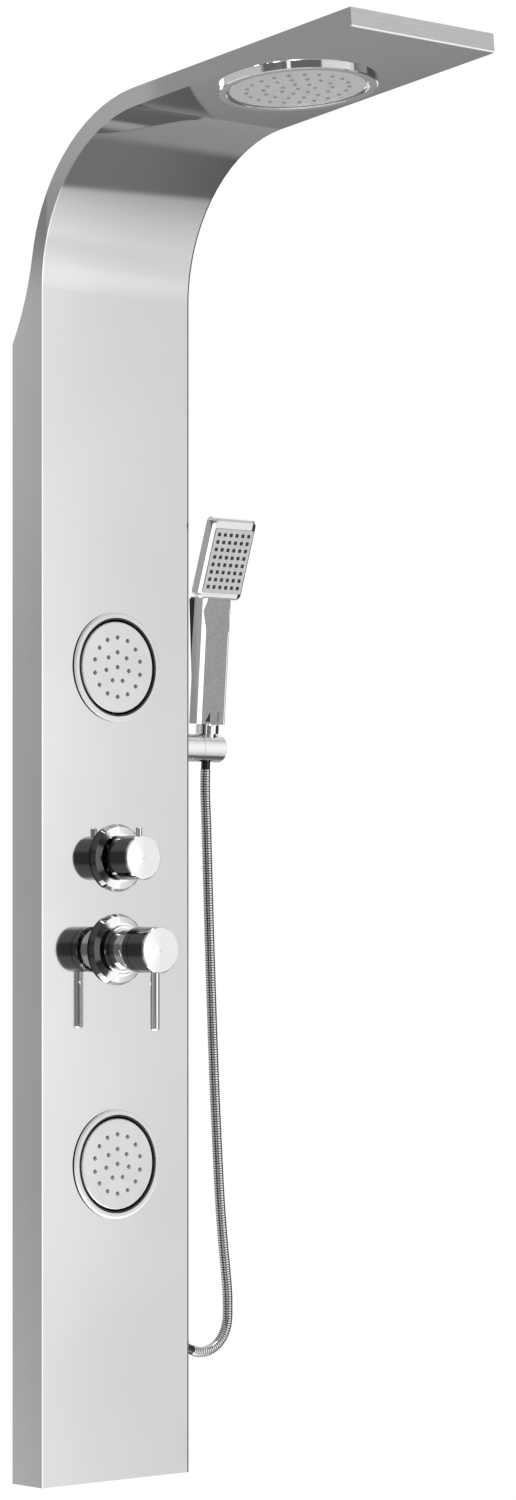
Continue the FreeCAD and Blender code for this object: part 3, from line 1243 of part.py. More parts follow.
def make_outlet():
    radius, reach = dim.outlet_body_radius, dim.outlet_flange
    fitting = turned("outlet_fitting", [
        (0, -dim.outlet_depth), (radius, -dim.outlet_depth), (radius, 0), (dim.outlet_flange_radius, 0),
        (dim.outlet_flange_radius, reach / 2), (dim.outlet_flange_radius - 1.5, reach), (0, reach)])
    placed = seat(fitting, ((half_width, holder_y, outlet_z), *ALONG["+X"]))
    spout_axis = ((0, 1, 0), 90 + dim.outlet_angle)
    spout = seat(cylinder(dim.outlet_spout_radius, dim.outlet_spout_length), (on_spout(0), *spout_axis))
    inner = joined("outlet_water", [
        seat(cylinder(dim.hose_bore, 2 * OVERRUN), (on_spout(-3), *spout_axis)),
        cylinder(dim.tube_bore, half_width - dim.hand_tube_offset,
                 (dim.hand_tube_offset, holder_y, outlet_z), "+X"),
        cylinder(dim.tube_bore, OVERRUN, (dim.hand_tube_offset, holder_y, outlet_z))])
    node("hand_outlet", cut("hand_outlet", joined("outlet_casting", [placed, spout]), inner))

    nut_start = dim.outlet_spout_length - dim.outlet_nut_length / 2
    bore = dim.outlet_spout_radius
    nut = turned("hose_end_nut", [
        (bore, 0), (dim.outlet_nut_radius, 0), (dim.outlet_nut_radius, dim.outlet_nut_length - 1.5),
        (dim.outlet_nut_radius - 1.5, dim.outlet_nut_length), (dim.hose_bore, dim.outlet_nut_length),
        (dim.hose_bore, dim.outlet_nut_length / 2), (bore, dim.outlet_nut_length / 2)])
    node("lower_hose_nut", seat(nut, (on_spout(nut_start), *spout_axis)))


def hose_points():
    top = -dim.cone_nut_foot
    end = dim.outlet_spout_length + dim.outlet_nut_length / 2
    route = [point_of(on_socket(top)), point_of(on_socket(top - dim.hose_first_run))]
    for x, y, height in HOSE_ROUTE:
        route.append(Vector(x, y, height - dim.bracket_height.value))
    route.append(point_of(on_spout(end + dim.hose_last_run)))
    route.append(point_of(on_spout(end)))
    return route


def hose_radii(route):
    radii = []
    for index in range(1, len(route) - 1):
        back = route[index - 1] - route[index]
        ahead = route[index + 1] - route[index]
        turn = math.pi - back.getAngle(ahead)
        radii.append(0.45 * min(back.Length, ahead.Length) / math.tan(turn / 2))
    return radii


def along_wire(wire, distance):
    """The point and direction at a distance along a wire."""
    for edge in wire.Edges:
        if distance <= edge.Length or edge.isSame(wire.Edges[-1]):
            here = edge.getParameterByLength(min(distance, edge.Length))
            return edge.valueAt(here), edge.tangentAt(here)
        distance -= edge.Length


def steady_ring(point, heading, radius):
    """A circle square to the hose, whose first point keeps to one side."""
    across = heading.cross(Vector(0, 1, 0)).normalize()
    circle = Part.Circle(point, heading, radius)
    circle.XAxis = across
    return Part.Wire([circle.toShape()])


def make_hose():
    route = hose_points()
    radii = hose_radii(route)
    print("hose bends", [round(radius) for radius in radii])
    wire = rounded_path(route, radii)
    plain_end = 2 * dim.hose_radius.value
    pitch = (wire.Length - 2 * plain_end) / HOSE_RIBS
    crest, valley = dim.hose_radius.value, dim.hose_valley.value
    rings = [steady_ring(*along_wire(wire, 0), valley)]
    for rib in range(HOSE_RIBS):
        start = plain_end + rib * pitch
        for share, radius in ((0, valley), (0.25, crest), (0.65, crest), (0.9, valley)):
            rings.append(steady_ring(*along_wire(wire, start + share * pitch), radius))
    rings.append(steady_ring(*along_wire(wire, wire.Length), valley))
    outside = Part.makeLoft(rings, True, True)
    hose = doc.addObject("Part::Feature", "shower_hose")
    hose.Shape = outside.cut(pipe(wire, dim.hose_bore.value))
    print("hose length", round(wire.Length, 1), "rib pitch", round(pitch, 2))
    node("shower_hose", hose)


# ---------------------------------------------------------------- the whole column

def make_all():
    make_front_panel()
    make_arm_covers()
    make_foot_cap()
    make_wall_bracket("upper_wall_bracket", dim.bracket_height)
    make_wall_bracket("lower_wall_bracket", dim.lower_bracket_height)
    make_hanger_rail("upper_hanger_rail", dim.bracket_height)
    make_hanger_rail("lower_hanger_rail", dim.lower_bracket_height)
    make_rivets()
    make_rain_head()
    make_jet("upper_jet", dim.upper_jet_height)
    make_jet("lower_jet", dim.lower_jet_height)
    make_jet_gaskets()
    make_diverter()
    make_mixer()
    make_tubes()
    make_holder()
    make_hand_shower()
    make_outlet()
    make_hose()


def check_and_write():
    doc.recompute()
    failed = [thing.Label for thing in doc.Objects
              if "Invalid" in thing.State or "Error" in thing.State]
    if failed:
        raise RuntimeError("failed: %s" % ", ".join(failed))
    for thing in nodes:
        if thing.Shape.isNull() or not thing.Shape.isValid() or not thing.Shape.Solids:
            raise RuntimeError("no sound solid: " + thing.Label)
    os.makedirs("parts", exist_ok=True)
    for thing in nodes:
        thing.Shape.exportStep("parts/%s.step" % thing.Label)
    print(len(nodes), "nodes")


make_all()
check_and_write()
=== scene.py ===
import math

import bpy
from bpy.props import FloatProperty, FloatVectorProperty, IntProperty, PointerProperty
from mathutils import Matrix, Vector


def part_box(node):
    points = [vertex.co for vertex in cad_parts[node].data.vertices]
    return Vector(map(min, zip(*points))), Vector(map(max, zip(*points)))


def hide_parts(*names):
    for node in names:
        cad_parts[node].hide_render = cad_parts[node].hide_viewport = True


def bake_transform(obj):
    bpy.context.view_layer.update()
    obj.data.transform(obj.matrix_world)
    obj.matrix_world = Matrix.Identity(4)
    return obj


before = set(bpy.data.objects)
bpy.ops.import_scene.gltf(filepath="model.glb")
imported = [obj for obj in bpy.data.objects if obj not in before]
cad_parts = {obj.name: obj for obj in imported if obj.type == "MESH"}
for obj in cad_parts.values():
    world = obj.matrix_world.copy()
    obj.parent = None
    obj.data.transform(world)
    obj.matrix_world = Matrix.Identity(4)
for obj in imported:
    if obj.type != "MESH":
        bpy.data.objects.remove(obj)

bl_info = {
    "name": "Steel shower column",
    "version": (1, 0, 0),
    "blender": (4, 5, 0),
    "location": "3D View > Sidebar > Shower",
    "description": "Gives a steel shower column its metal finishes, rubber nozzles and ribbed hose",
    "category": "Object",
}

# The middle line of the hose from the nut under the hand shower to the nut on the outlet.
HOSE_ROUTE = (
    (0.1465, -0.02408, -0.33196), (0.1465, -0.02208, -0.35789), (0.1494, -0.0213, -0.400),
    (0.1518, -0.0208, -0.460), (0.1554, -0.0208, -0.555), (0.1598, -0.0215, -0.670),
    (0.1639, -0.0225, -0.755), (0.1672, -0.0233, -0.815), (0.1710, -0.0240, -0.859),
    (0.1746, -0.0246, -0.892), (0.1766, -0.0250, -0.913), (0.1768, -0.0250, -0.931),
    (0.1764, -0.0250, -0.9463), (0.1704, -0.0250, -0.9604), (0.1592, -0.0250, -0.9709),
    (0.1449, -0.0250, -0.976), (0.12958, -0.0250, -0.97507), (0.11533, -0.0250, -0.96781),
)
# Where the hose's two lengths meet.
HOSE_JOIN = (0.1552, -0.0208, -0.555)
# One rib from seam to seam: its height, and how much painted shade its seam gets.
RIB_SHAPE = (0.0, 1.0, 1.0, 1.0, 1.0, 1.0, 1.0, 1.0)
RIB_SEAM = (1.0, 0.6, 0.0, 0.0, 0.0, 0.0, 0.0, 0.6)

POLISHED = ("front_panel", "arm_top_cover", "foot_cap")
JET_RINGS = ("upper_jet_bezel", "lower_jet_bezel")
JET_FACES = ("upper_jet_face", "lower_jet_face")
CHROME = (
    "rain_bezel", "diverter_nut", "diverter_spindle", "diverter_pin", "diverter_grub_screw",
    "mixer_sleeve", "mixer_hinge_pin", "mixer_stem", "mixer_lever", "holder_base",
    "holder_head", "holder_nut", "holder_pivot_pin", "hose_cone_nut", "lower_hose_nut",
    "rail_rivets",
)
BARRELS = ("diverter_knob", "mixer_handle")
ROSES = ("diverter_flange", "mixer_flange")
CAPS = ("diverter_cap", "mixer_cap")
JET_NOZZLES = ("upper_jet_nozzles", "lower_jet_nozzles")
ZINC = ("upper_wall_bracket", "lower_wall_bracket", "upper_hanger_rail", "lower_hanger_rail")
MOULDINGS = (
    "rain_chamber", "upper_jet_socket", "lower_jet_socket", "upper_jet_hub", "lower_jet_hub",
    "upper_jet_ball", "lower_jet_ball", "mixer_cartridge",
)
BRASSWARE = (
    "diverter_body", "mixer_body", "hand_outlet", "mixer_guide", "mixer_link_tube", "jet_manifold",
    "rain_feed_tube", "hand_feed_tube", "rain_union_nut",
)

WHITE = (1.0, 1.0, 1.0)

# The hand shower's socket, how far it leans, where its satin front lies and where painted shade and
# painted dark reflections lie on it. A rise is measured along the grip from the socket. The pairs
# say where a mark starts to show and where it shows in full.
SOCKET_BEHIND = -0.025
SOCKET_HEIGHT = -0.32
GRIP_LEAN = math.radians(4.4)
GRIP_END = (0.1620, 0.1628)
NECK_START = (0.124, 0.130)
GRIP_EDGE = 0.1622
NECK_EDGE = 0.1649
GRIP_LINE = (0.0, 0.0002)
GRIP_STRIP = (-0.0013, -0.0010)
HEAD_LINE = (0.1702, 0.1704)
SPINE_DEPTH = 0.0115
SPINE_TAPER = 0.0184
SPINE_EDGE = (0.0, 0.0004)
SPINE_END = (0.160, 0.165)
NOTCH_RISE = (0.0285, 0.0289, 0.0392, 0.0396)
NOTCH_SLOPE = 0.62
NOTCH_LEFT = (0.1171, 0.1175)
NOTCH_RIGHT = (0.1417, 0.1421)
SLOT_ACROSS = (0.1524, 0.1527, 0.1535, 0.1538)

# Where painted light and shade lie, in metres: a painted highlight and painted shade along the
# panel's folds, at the jets' edges, and a painted highlight along the end plate's lower edge.
FOLD_LINE = (0.0981, 0.0985, 0.0999, 0.09995)
JET_FACE_EDGE = (-0.0508, -0.0503)
JET_RING_PROUD = (-0.0516, -0.0512)
PLATE_EDGE = (0.0012, 0.0022)

# How far a surface has turned when a painted highlight, painted shade or the grip's satin front on
# it
# starts and ends: -1 faces straight forward, or straight to the left for the flank. In a wall rose,
# -1 lies straight to the left of its middle.
JET_FACE_WALL = (-0.97, -0.90)
JET_RING_WALL = (-0.95, -0.85)
GRIP_FRONT = (-0.93, -0.85)
GRIP_FLANK = (-0.98, -0.94)
ROSE_LEFT = (-0.66, -0.46)


# ---------------------------------------------------------------- materials as expressions

class Value:
    """A socket of a finish, which can be added, scaled and compared like a number."""

    def __init__(self, recipe, socket):
        self.recipe = recipe
        self.socket = socket

    def _maths(self, operation, first, second=0.0):
        return self.recipe.node(
            "ShaderNodeMath", {"operation": operation}, {0: first, 1: second})

    def __add__(self, other):
        return self._maths("ADD", self, other)

    def __radd__(self, other):
        return self._maths("ADD", other, self)

    def __sub__(self, other):
        return self._maths("SUBTRACT", self, other)

    def __rsub__(self, other):
        return self._maths("SUBTRACT", other, self)

    def __mul__(self, other):
        return self._maths("MULTIPLY", self, other)

    def __rmul__(self, other):
        return self._maths("MULTIPLY", other, self)

    def __truediv__(self, other):
        return self._maths("DIVIDE", self, other)

    def __rtruediv__(self, other):
        return self._maths("DIVIDE", other, self)

    def __gt__(self, other):
        return self._maths("GREATER_THAN", self, other)

    def __lt__(self, other):
        return self._maths("LESS_THAN", self, other)

    def __abs__(self):
        return self._maths("ABSOLUTE", self)

    def root(self):
        return self._maths("SQRT", self)

    def at_most(self, limit):
        return self._maths("MINIMUM", self, limit)


class Recipe:
    """The node tree of one finish, or of the world."""

    def __init__(self, tree):
        self.tree = tree

    def feed(self, socket, value):
        if isinstance(value, Value):
            self.tree.links.new(value.socket, socket)
        else:
            socket.default_value = value

    def node(self, kind, settings=None, inputs=None, output=0):
        made = self.tree.nodes.new(kind)
        for name, value in (settings or {}).items():
            setattr(made, name, value)
        for name, value in (inputs or {}).items():
            self.feed(made.inputs[name], value)
        return Value(self, made.outputs[output])

    def place(self):
        """Where a point of the surface lies, in metres."""
        return self.node("ShaderNodeTexCoord", output="Object")

    def facing(self):
        """The surface's normal, as its three parts."""
        return self.axes(self.node("ShaderNodeTexCoord", output="Normal"))

    def axes(self, vector):
        split = self.node("ShaderNodeSeparateXYZ", inputs={0: vector})
        return [Value(self, socket) for socket in split.socket.node.outputs]

    def stretched(self, vector, scale):
        return self.node("ShaderNodeMapping", inputs={"Vector": vector, "Scale": scale})

    def noise(self, vector, scale=1.0, detail=2.0, rough=0.5):
        return self.node("ShaderNodeTexNoise", inputs={
            "Vector": vector, "Scale": scale, "Detail": detail, "Roughness": rough})

    def _ranged(self, settings, value, low, high, start, end):
        return self.node("ShaderNodeMapRange", settings, {
            "Value": value, "From Min": low, "From Max": high, "To Min": start, "To Max": end})

    def ramped(self, value, low, high, start=0.0, end=1.0):
        """A straight change from start to end while the value goes from low to high."""
        return self._ranged({}, value, low, high, start, end)

    def eased(self, value, low, high, start=0.0, end=1.0):
        """The same, with soft ends."""
        return self._ranged({"interpolation_type": "SMOOTHSTEP"}, value, low, high, start, end)

    def fading(self, value, low, high):
        return self.eased(value, low, high, 1.0, 0.0)

    def between(self, value, low_start, low_end, high_start, high_end):
        """Full between two soft limits, and nothing outside them."""
        return self.eased(value, low_start, low_end) * self.fading(value, high_start, high_end)

    def mixed(self, factor, first, second):
        return self.node(
            "ShaderNodeMix", {"data_type": "RGBA"}, {0: factor, 6: first, 7: second}, 2)

    def varied(self, pattern, colour, first, second, low=0.3, high=0.7):
        """A colour that goes from its first shade to its second with a pattern."""
        return self.mixed(
            self.eased(pattern, low, high), shade(colour, first), shade(colour, second))

    def bump(self, height, distance):
        return self.node("ShaderNodeBump", inputs={
            "Height": height, "Distance": distance, "Strength": 1.0})


def shade(colour, factor=1.0):
    return (*(min(channel * factor, 1.0) for channel in colour), 1.0)


def scaled(colour, factor):
    return tuple(min(channel * factor, 1.0) for channel in colour)


def finish(name, **fixed):
    """A new finish: its material, its recipe and its shader."""
    material = bpy.data.materials.new(name)
    material.use_nodes = True
    shader = material.node_tree.nodes["Principled BSDF"]
    for socket, value in fixed.items():
        shader.inputs[socket].default_value = value
    return material, Recipe(material.node_tree), shader


def dress(names, material):
    for name in names:
        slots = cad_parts[name].data.materials
        if not slots:
            slots.append(material)
        for index in range(len(slots)):
            slots[index] = material


def polished_steel(colour):
    """Bright sheet steel with the faint long grain of its polishing, a painted highlight along its
    left fold and painted shade along its right fold.
    """
    material, recipe, shader = finish("polished_steel", Metallic=1.0)
    place = recipe.place()
    grain = recipe.noise(recipe.stretched(place, (30.0, 900.0, 900.0)), 1.0, 3.0)
    cloud = recipe.noise(place, 5.0, 2.0)
    across = recipe.axes(place)[0]
    # The thin lines along the folds are painted: a highlight on the left fold, shade on the right.
    folds = recipe.between(abs(across), *FOLD_LINE)
    painted_light_left_shade_right = recipe.mixed(across > 0.0, shade(colour, 1.35), shade(colour, 0.12))
    recipe.feed(shader.inputs["Base Color"], recipe.mixed(
        folds, recipe.varied(cloud, colour, 0.97, 1.02), painted_light_left_shade_right))
    recipe.feed(shader.inputs["Roughness"], 0.03 + 0.04 * grain + 0.02 * cloud)
    recipe.feed(shader.inputs["Normal"], recipe.bump(grain, 0.000004))
    return material


def jet_steel(name, colour, ring):
    """Bright steel whose edges get a satin finish and a painted highlight. A ring also gets painted
    shade where its wall meets the panel.
    """
    material, recipe, shader = finish(name)
    place = recipe.place()
    cloud = recipe.noise(place, 40.0, 3.0)
    forward = recipe.facing()[1]
    behind = recipe.axes(place)[1]
    sheet = recipe.varied(cloud, colour, 0.97, 1.02)
    if ring:
        wall = recipe.eased(forward, *JET_RING_WALL)
        proud = recipe.fading(behind, *JET_RING_PROUD)
        edge = wall * proud
        # Painted shade where the ring's wall meets the panel.
        sheet = recipe.mixed(wall * (1.0 - proud), sheet, shade(colour, 0.10))
        satin, metal_lost = shade(WHITE), 0.9
    else:
        edge = recipe.eased(forward, *JET_FACE_WALL) * recipe.fading(behind, *JET_FACE_EDGE)
        satin, metal_lost = shade(WHITE, 0.85), 0.7
    # The pale satin colour of the edges is a painted highlight.
    recipe.feed(shader.inputs["Base Color"], recipe.mixed(edge, sheet, satin))
    recipe.feed(shader.inputs["Metallic"], 1.0 - metal_lost * edge)
    recipe.feed(shader.inputs["Roughness"], 0.05 + 0.03 * cloud + 0.4 * edge)
    return material


def brushed_steel(colour, low_edge):
    """Sheet steel brushed across, dull beside the polished panel, with a painted highlight along
    its lower edge.
    """
    material, recipe, shader = finish("brushed_steel", Metallic=1.0)
    place = recipe.place()
    edge = recipe.fading(recipe.axes(place)[2], *(low_edge + height for height in PLATE_EDGE))
    lines = recipe.noise(recipe.stretched(place, (60.0, 1200.0, 1500.0)), 1.0, 4.0, 0.6)
    scratch = recipe.noise(recipe.stretched(place, (400.0, 400.0, 400.0)), 1.0, 3.0, 0.7)
    # The white along the lower edge is a painted highlight.
    recipe.feed(shader.inputs["Base Color"], recipe.mixed(
        edge, recipe.varied(lines, colour, 0.90, 1.06), shade(WHITE)))
    recipe.feed(shader.inputs["Roughness"], (0.26 + 0.14 * scratch) * (1.0 - 0.85 * edge))
    recipe.feed(shader.inputs["Normal"], recipe.bump(lines + 0.5 * scratch, 0.00002))
    return material


def plated(name, colour):
    """What each chrome finish starts from, with the colour and the gloss of faint wiping marks."""
    material, recipe, shader = finish(name, Metallic=1.0)
    place = recipe.place()
    smear = recipe.noise(place, 60.0, 4.0, 0.6)
    bright = recipe.varied(smear, colour, 1.0, 0.97, 0.35)
    return material, recipe, shader, place, bright, 0.025 + 0.04 * smear


def chrome(name, colour):
    """Chrome plating."""
    material, recipe, shader, _, bright, gloss = plated(name, colour)
    recipe.feed(shader.inputs["Base Color"], bright)
    recipe.feed(shader.inputs["Roughness"], gloss)
    return material


def rose_chrome_painted_dark_left(name, colour, middle):
    """Chrome of a wall rose, with a painted dark reflection to the left of its middle."""
    material, recipe, shader, place, bright, gloss = plated(name, colour)
    across, _, height = recipe.axes(place)
    aside = across - middle[0]
    above = height - middle[2]
    # Painted dark reflection on the rose's left side.
    left = recipe.fading(aside / (aside * aside + above * above).root(), *ROSE_LEFT)
    recipe.feed(shader.inputs["Base Color"], recipe.mixed(left, bright, shade(colour, 0.12)))
    recipe.feed(shader.inputs["Roughness"], gloss)
    return material


def hand_shower_chrome(colour, satin):
    """Chrome whose grip has a satin front, painted shade on its left flank, painted dark
    reflections on its back and along its right edge, and two notches at its foot painted dark as
    shade.
    """
    material, recipe, shader, place, bright, gloss = plated("hand_shower_chrome", colour)
    mottle = recipe.noise(place, 260.0, 4.0, 0.6)
    sideways, forward, _ = recipe.facing()
    across, behind, height = recipe.axes(place)
    back = behind - SOCKET_BEHIND
    above = height - SOCKET_HEIGHT
    rise = above * math.cos(GRIP_LEAN) - back * math.sin(GRIP_LEAN)
    depth = back * math.cos(GRIP_LEAN) + above * math.sin(GRIP_LEAN)

    facing = recipe.fading(forward, *GRIP_FRONT)
    flank = recipe.fading(sideways, *GRIP_FLANK)
    on_grip = recipe.fading(rise, *GRIP_END)
    past_edge = across - recipe.eased(rise, *NECK_START, GRIP_EDGE, NECK_EDGE)
    front = facing * on_grip * recipe.fading(past_edge, *GRIP_STRIP)
    painted_dark_back = recipe.eased(depth - SPINE_DEPTH + SPINE_TAPER * rise, *SPINE_EDGE) * (
        recipe.fading(rise, *SPINE_END))
    painted_dark_right_line = facing * (on_grip * recipe.eased(past_edge, *GRIP_LINE)
                           + (1.0 - on_grip) * recipe.eased(across, *HEAD_LINE))
    notch = recipe.eased(across - NOTCH_SLOPE * rise, *NOTCH_LEFT) * (
        recipe.fading(across, *NOTCH_RIGHT))
    slot = recipe.between(across, *SLOT_ACROSS)
    notches = recipe.between(rise, *NOTCH_RISE) * front * (notch + slot)
    # Painted shade and painted dark reflections: the back, the right edge and the notches.
    dark = (painted_dark_back + painted_dark_right_line + notches).at_most(1.0)

    # The flank's darker chrome is painted shade.
    sides = recipe.mixed(flank, bright, shade(colour, 0.62))
    outside = recipe.mixed(front, sides, recipe.varied(mottle, satin, 0.92, 1.08))
    recipe.feed(shader.inputs["Base Color"], recipe.mixed(dark, outside, shade(colour, 0.05)))
    recipe.feed(shader.inputs["Roughness"], gloss + 0.33 * front + 0.10 * flank)
    return material


def satin_plate(name, colour, metallic):
    """Pale satin plating of the spray plates."""
    material, recipe, shader = finish(name, Metallic=metallic)
    place = recipe.place()
    grain = recipe.noise(place, 1500.0, 3.0)
    cloud = recipe.noise(place, 25.0, 2.0)
    recipe.feed(shader.inputs["Base Color"], recipe.varied(cloud, colour, 0.97, 1.02))
    recipe.feed(shader.inputs["Roughness"], 0.36 + 0.1 * grain)
    recipe.feed(shader.inputs["Normal"], recipe.bump(grain, 0.00001))
    return material


def soft_rubber(name, colour):
    """Soft matt rubber of nozzles and gaskets, a little dusty."""
    material, recipe, shader = finish(name)
    dust = recipe.noise(recipe.place(), 700.0, 3.0)
    recipe.feed(shader.inputs["Base Color"], recipe.varied(dust, colour, 1.0, 1.25, 0.35))
    recipe.feed(shader.inputs["Roughness"], 0.5 + 0.2 * dust)
    recipe.feed(shader.inputs["Normal"], recipe.bump(dust, 0.00002))
    return material


def moulded_plastic(colour):
    """Dark moulded plastic with a fine spark-eroded grain."""
    material, recipe, shader = finish("moulded_plastic")
    grain = recipe.noise(recipe.place(), 1800.0, 2.0)
    recipe.feed(shader.inputs["Base Color"], recipe.varied(grain, colour, 0.9, 1.15))
    recipe.feed(shader.inputs["Roughness"], 0.42 + 0.15 * grain)
    recipe.feed(shader.inputs["Normal"], recipe.bump(grain, 0.00003))
    return material


def cast_brass(colour, tarnished):
    """Cast and turned brass, warm and slightly tarnished."""
    material, recipe, shader = finish("cast_brass", Metallic=1.0)
    place = recipe.place()
    tarnish = recipe.noise(place, 45.0, 5.0, 0.6)
    grain = recipe.noise(place, 900.0, 3.0)
    recipe.feed(shader.inputs["Base Color"], recipe.mixed(
        recipe.eased(tarnish, 0.4, 0.7), shade(colour), shade(tarnished)))
    recipe.feed(shader.inputs["Roughness"], 0.24 + 0.2 * tarnish + 0.06 * grain)
    recipe.feed(shader.inputs["Normal"], recipe.bump(grain, 0.00002))
    return material


def zinc_plate(colour):
    """Zinc-plated steel with its grey spangle."""
    material, recipe, shader = finish("zinc_plate", Metallic=0.9)
    spangle = recipe.node("ShaderNodeTexVoronoi", {"feature": "F1"}, {
        "Vector": recipe.place(), "Scale": 160.0}, "Color")
    cell = recipe.axes(spangle)[0]
    recipe.feed(shader.inputs["Base Color"], recipe.mixed(
        cell, shade(colour, 0.85), shade(colour, 1.1)))
    recipe.feed(shader.inputs["Roughness"], 0.3 + 0.2 * cell)
    return material


def hose_steel(colour):
    """The hose's polished winding, with painted shade in the seams between its ribs."""
    material, recipe, shader = finish("hose_steel", Metallic=1.0)
    smear = recipe.noise(recipe.place(), 80.0, 4.0, 0.6)
    seam = recipe.node("ShaderNodeAttribute", {"attribute_name": "seam"}, output="Fac")
    recipe.feed(shader.inputs["Base Color"], recipe.mixed(
        recipe.eased(seam, 0.0, 0.6), recipe.varied(smear, colour, 1.0, 0.9, 0.35),
        shade(colour, 0.06)))
    recipe.feed(shader.inputs["Roughness"], 0.12 + 0.08 * smear)
    return material


# ---------------------------------------------------------------- the ribbed hose

def smooth_line(points):
    """Points along the smooth curve that these control points give."""
    curve = bpy.data.curves.new("route", "CURVE")
    curve.dimensions = "3D"
    spline = curve.splines.new("NURBS")
    spline.points.add(len(points) - 1)
    for control, point in zip(spline.points, points):
        control.co = (*point, 1.0)
    spline.order_u = 3
    spline.use_endpoint_u = True
    spline.resolution_u = 24
    thing = bpy.data.objects.new("route", curve)
    bpy.context.scene.collection.objects.link(thing)
    bpy.context.view_layer.update()
    mesh = bpy.data.meshes.new_from_object(thing)
    line = [vertex.co.copy() for vertex in mesh.vertices]
    bpy.data.objects.remove(thing)
    bpy.data.curves.remove(curve)
    bpy.data.meshes.remove(mesh)
    return line


def line_length(line):
    return sum((after - before).length for before, after in zip(line, line[1:]))


def walk(line, steps):
    """Points and directions at equal steps along a line."""
    lengths = [0.0]
    for before, after in zip(line, line[1:]):
        lengths.append(lengths[-1] + (after - before).length)
    total = lengths[-1]
    span = 0
    for step in range(steps + 1):
        goal = total * step / steps
        while span < len(line) - 2 and lengths[span + 1] < goal:
            span += 1
        run = line[span + 1] - line[span]
        share = (goal - lengths[span]) / max(run.length, 1e-9)
        yield line[span] + run * share, run.normalized()


def ribbed_tube(name, line, sizes, plain_start, plain_end):
    """A closed tube along a line, its wall rising and falling in ribs, with plain ends."""
    length = line_length(line)
    steps = max(int(length / sizes.rib_pitch), 1) * len(RIB_SHAPE)
    sides = sizes.hose_sides
    valley = sizes.hose_diameter / 2 - sizes.rib_depth
    verts = []
    faces = []
    seams = []
    for step, (point, heading) in enumerate(walk(line, steps)):
        across = heading.cross(Vector((0.0, 1.0, 0.0))).normalized()
        up = heading.cross(across)
        # Each step also carries how much painted shade its seam gets; the plain ends are painted
        # fully dark.
        rise, seam = RIB_SHAPE[step % len(RIB_SHAPE)], RIB_SEAM[step % len(RIB_SEAM)]
        if not plain_start <= length * step / steps <= length - plain_end:
            rise, seam = 0.0, 1.0
        radius = valley + sizes.rib_depth * rise
        seams += [seam] * sides
        for side in range(sides):
            angle = 2 * math.pi * side / sides
            verts.append(point + (across * math.cos(angle) + up * math.sin(angle)) * radius)
        if step:
            base = (step - 1) * sides
            for side in range(sides):
                following = (side + 1) % sides
                faces.append((base + side, base + following, base + sides + following,
                              base + sides + side))
    last = steps * sides
    faces.append(tuple(reversed(range(sides))))
    faces.append(tuple(range(last, last + sides)))
    mesh = bpy.data.meshes.new(name)
    mesh.from_pydata(verts, [], faces)
    mesh.polygons.foreach_set("use_smooth", [True] * len(mesh.polygons))
    mesh.attributes.new("seam", "FLOAT", "POINT").data.foreach_set("value", seams)
    mesh.update()
    thing = bpy.data.objects.new(name, mesh)
    bpy.context.scene.collection.objects.link(thing)
    return thing


# ---------------------------------------------------------------- the studio's light

# A ray's three parts, right, behind and up, say what it meets. Each row holds where a change
# starts and ends, and after that the light or the share at either end. A light of 1 is white.
PANEL_FADE = (-0.725, -0.20, 1.0, 0.41)
PANEL_LEVEL = 1.073
PANEL_LEFT = (0.0, 0.25, 0.10, 0.0)
PANEL_ACROSS = (0.0, 1.05, 0.14, 0.0)
PANEL_ENDS = (0.03, 0.13, 1.01, 0.94)
UPRIGHT = (-0.76, -0.70)
UPRIGHT_FOLD = 0.783
UPRIGHT_SPREAD = 0.0574
BEND_FOLD = 0.610
BEND_SPREAD = 0.028
BEND_EDGE = (-0.36, -0.29)
BEND_EDGE_SLOPE = 3.2
BEND_EDGE_START = 0.630
BEND_EDGE_REACH = 0.03
UNDER_BEND = (0.625, 0.652, 0.25, 0.10)
ABOVE_HORIZON = (-0.30, 0.10, 0.0, 0.6)
REAR = (0.17, 0.33)
LOW = (-0.22, -0.16)
BELOW_ARM = (-0.336, -0.306, 0.39, 0.22)
BACKDROP = 1.02

LEVEL_BAND = (-0.26, -0.18, 0.18, 0.26)
TALL_SIDE = (0.25, 0.40)
TALL_HEIGHT = (0.50, 0.60)
WINDOW_SIDE = (-0.14, -0.06)
WINDOW_LEVEL = 1.10
DARK_LEVEL = 0.19
STEEP_LIGHT = (0.25, 0.45, 0.0, 0.30)
GRIP_WINDOW = (0.03, 0.04)
GRIP_WINDOW_BEHIND = 0.656
GRIP_WINDOW_UP = 0.045
GRIP_WINDOW_TILT = 0.35
GRIP_WINDOW_HEIGHT = (-0.46, -0.42, -0.028, -0.020)
GRIP_WINDOW_LEVEL = 1.25
LEFT_WINDOW = (-0.48, -0.44, -0.16, -0.12)
LEFT_WINDOW_LEVEL = 0.12
LEFT_SIDE = (-0.20, -0.10)

IN_FRONT = (-0.05, 0.10)
COLUMN_FLANGE = (0.773, 0.783, 0.57, 0.46)
COLUMN_ENDS = (0.05, 0.14, 1.0, 1.22)
ARM_FLANGE = (0.160, 0.185, 0.29, 0.42)
ON_ARM = (0.147, 0.158)
LEFT_WALL = (-0.55, -0.50)
RIGHT_WALL = (-0.2, 0.45, 0.55, 1.0)
UPPER_WALL = (0.02, 0.20, 0.0, 0.35)
UPPER_WALL_SIDE = (-0.3, 0.3)
LOW_WALL_LEVEL = 0.8

DARK_STRIP_BEHIND = (-0.02, 0.10)
DARK_STRIP_SIDE = (0.70, 0.73)
DARK_STRIP_LEVEL = 0.04
PANEL_ZONE = (0.50, 0.60)


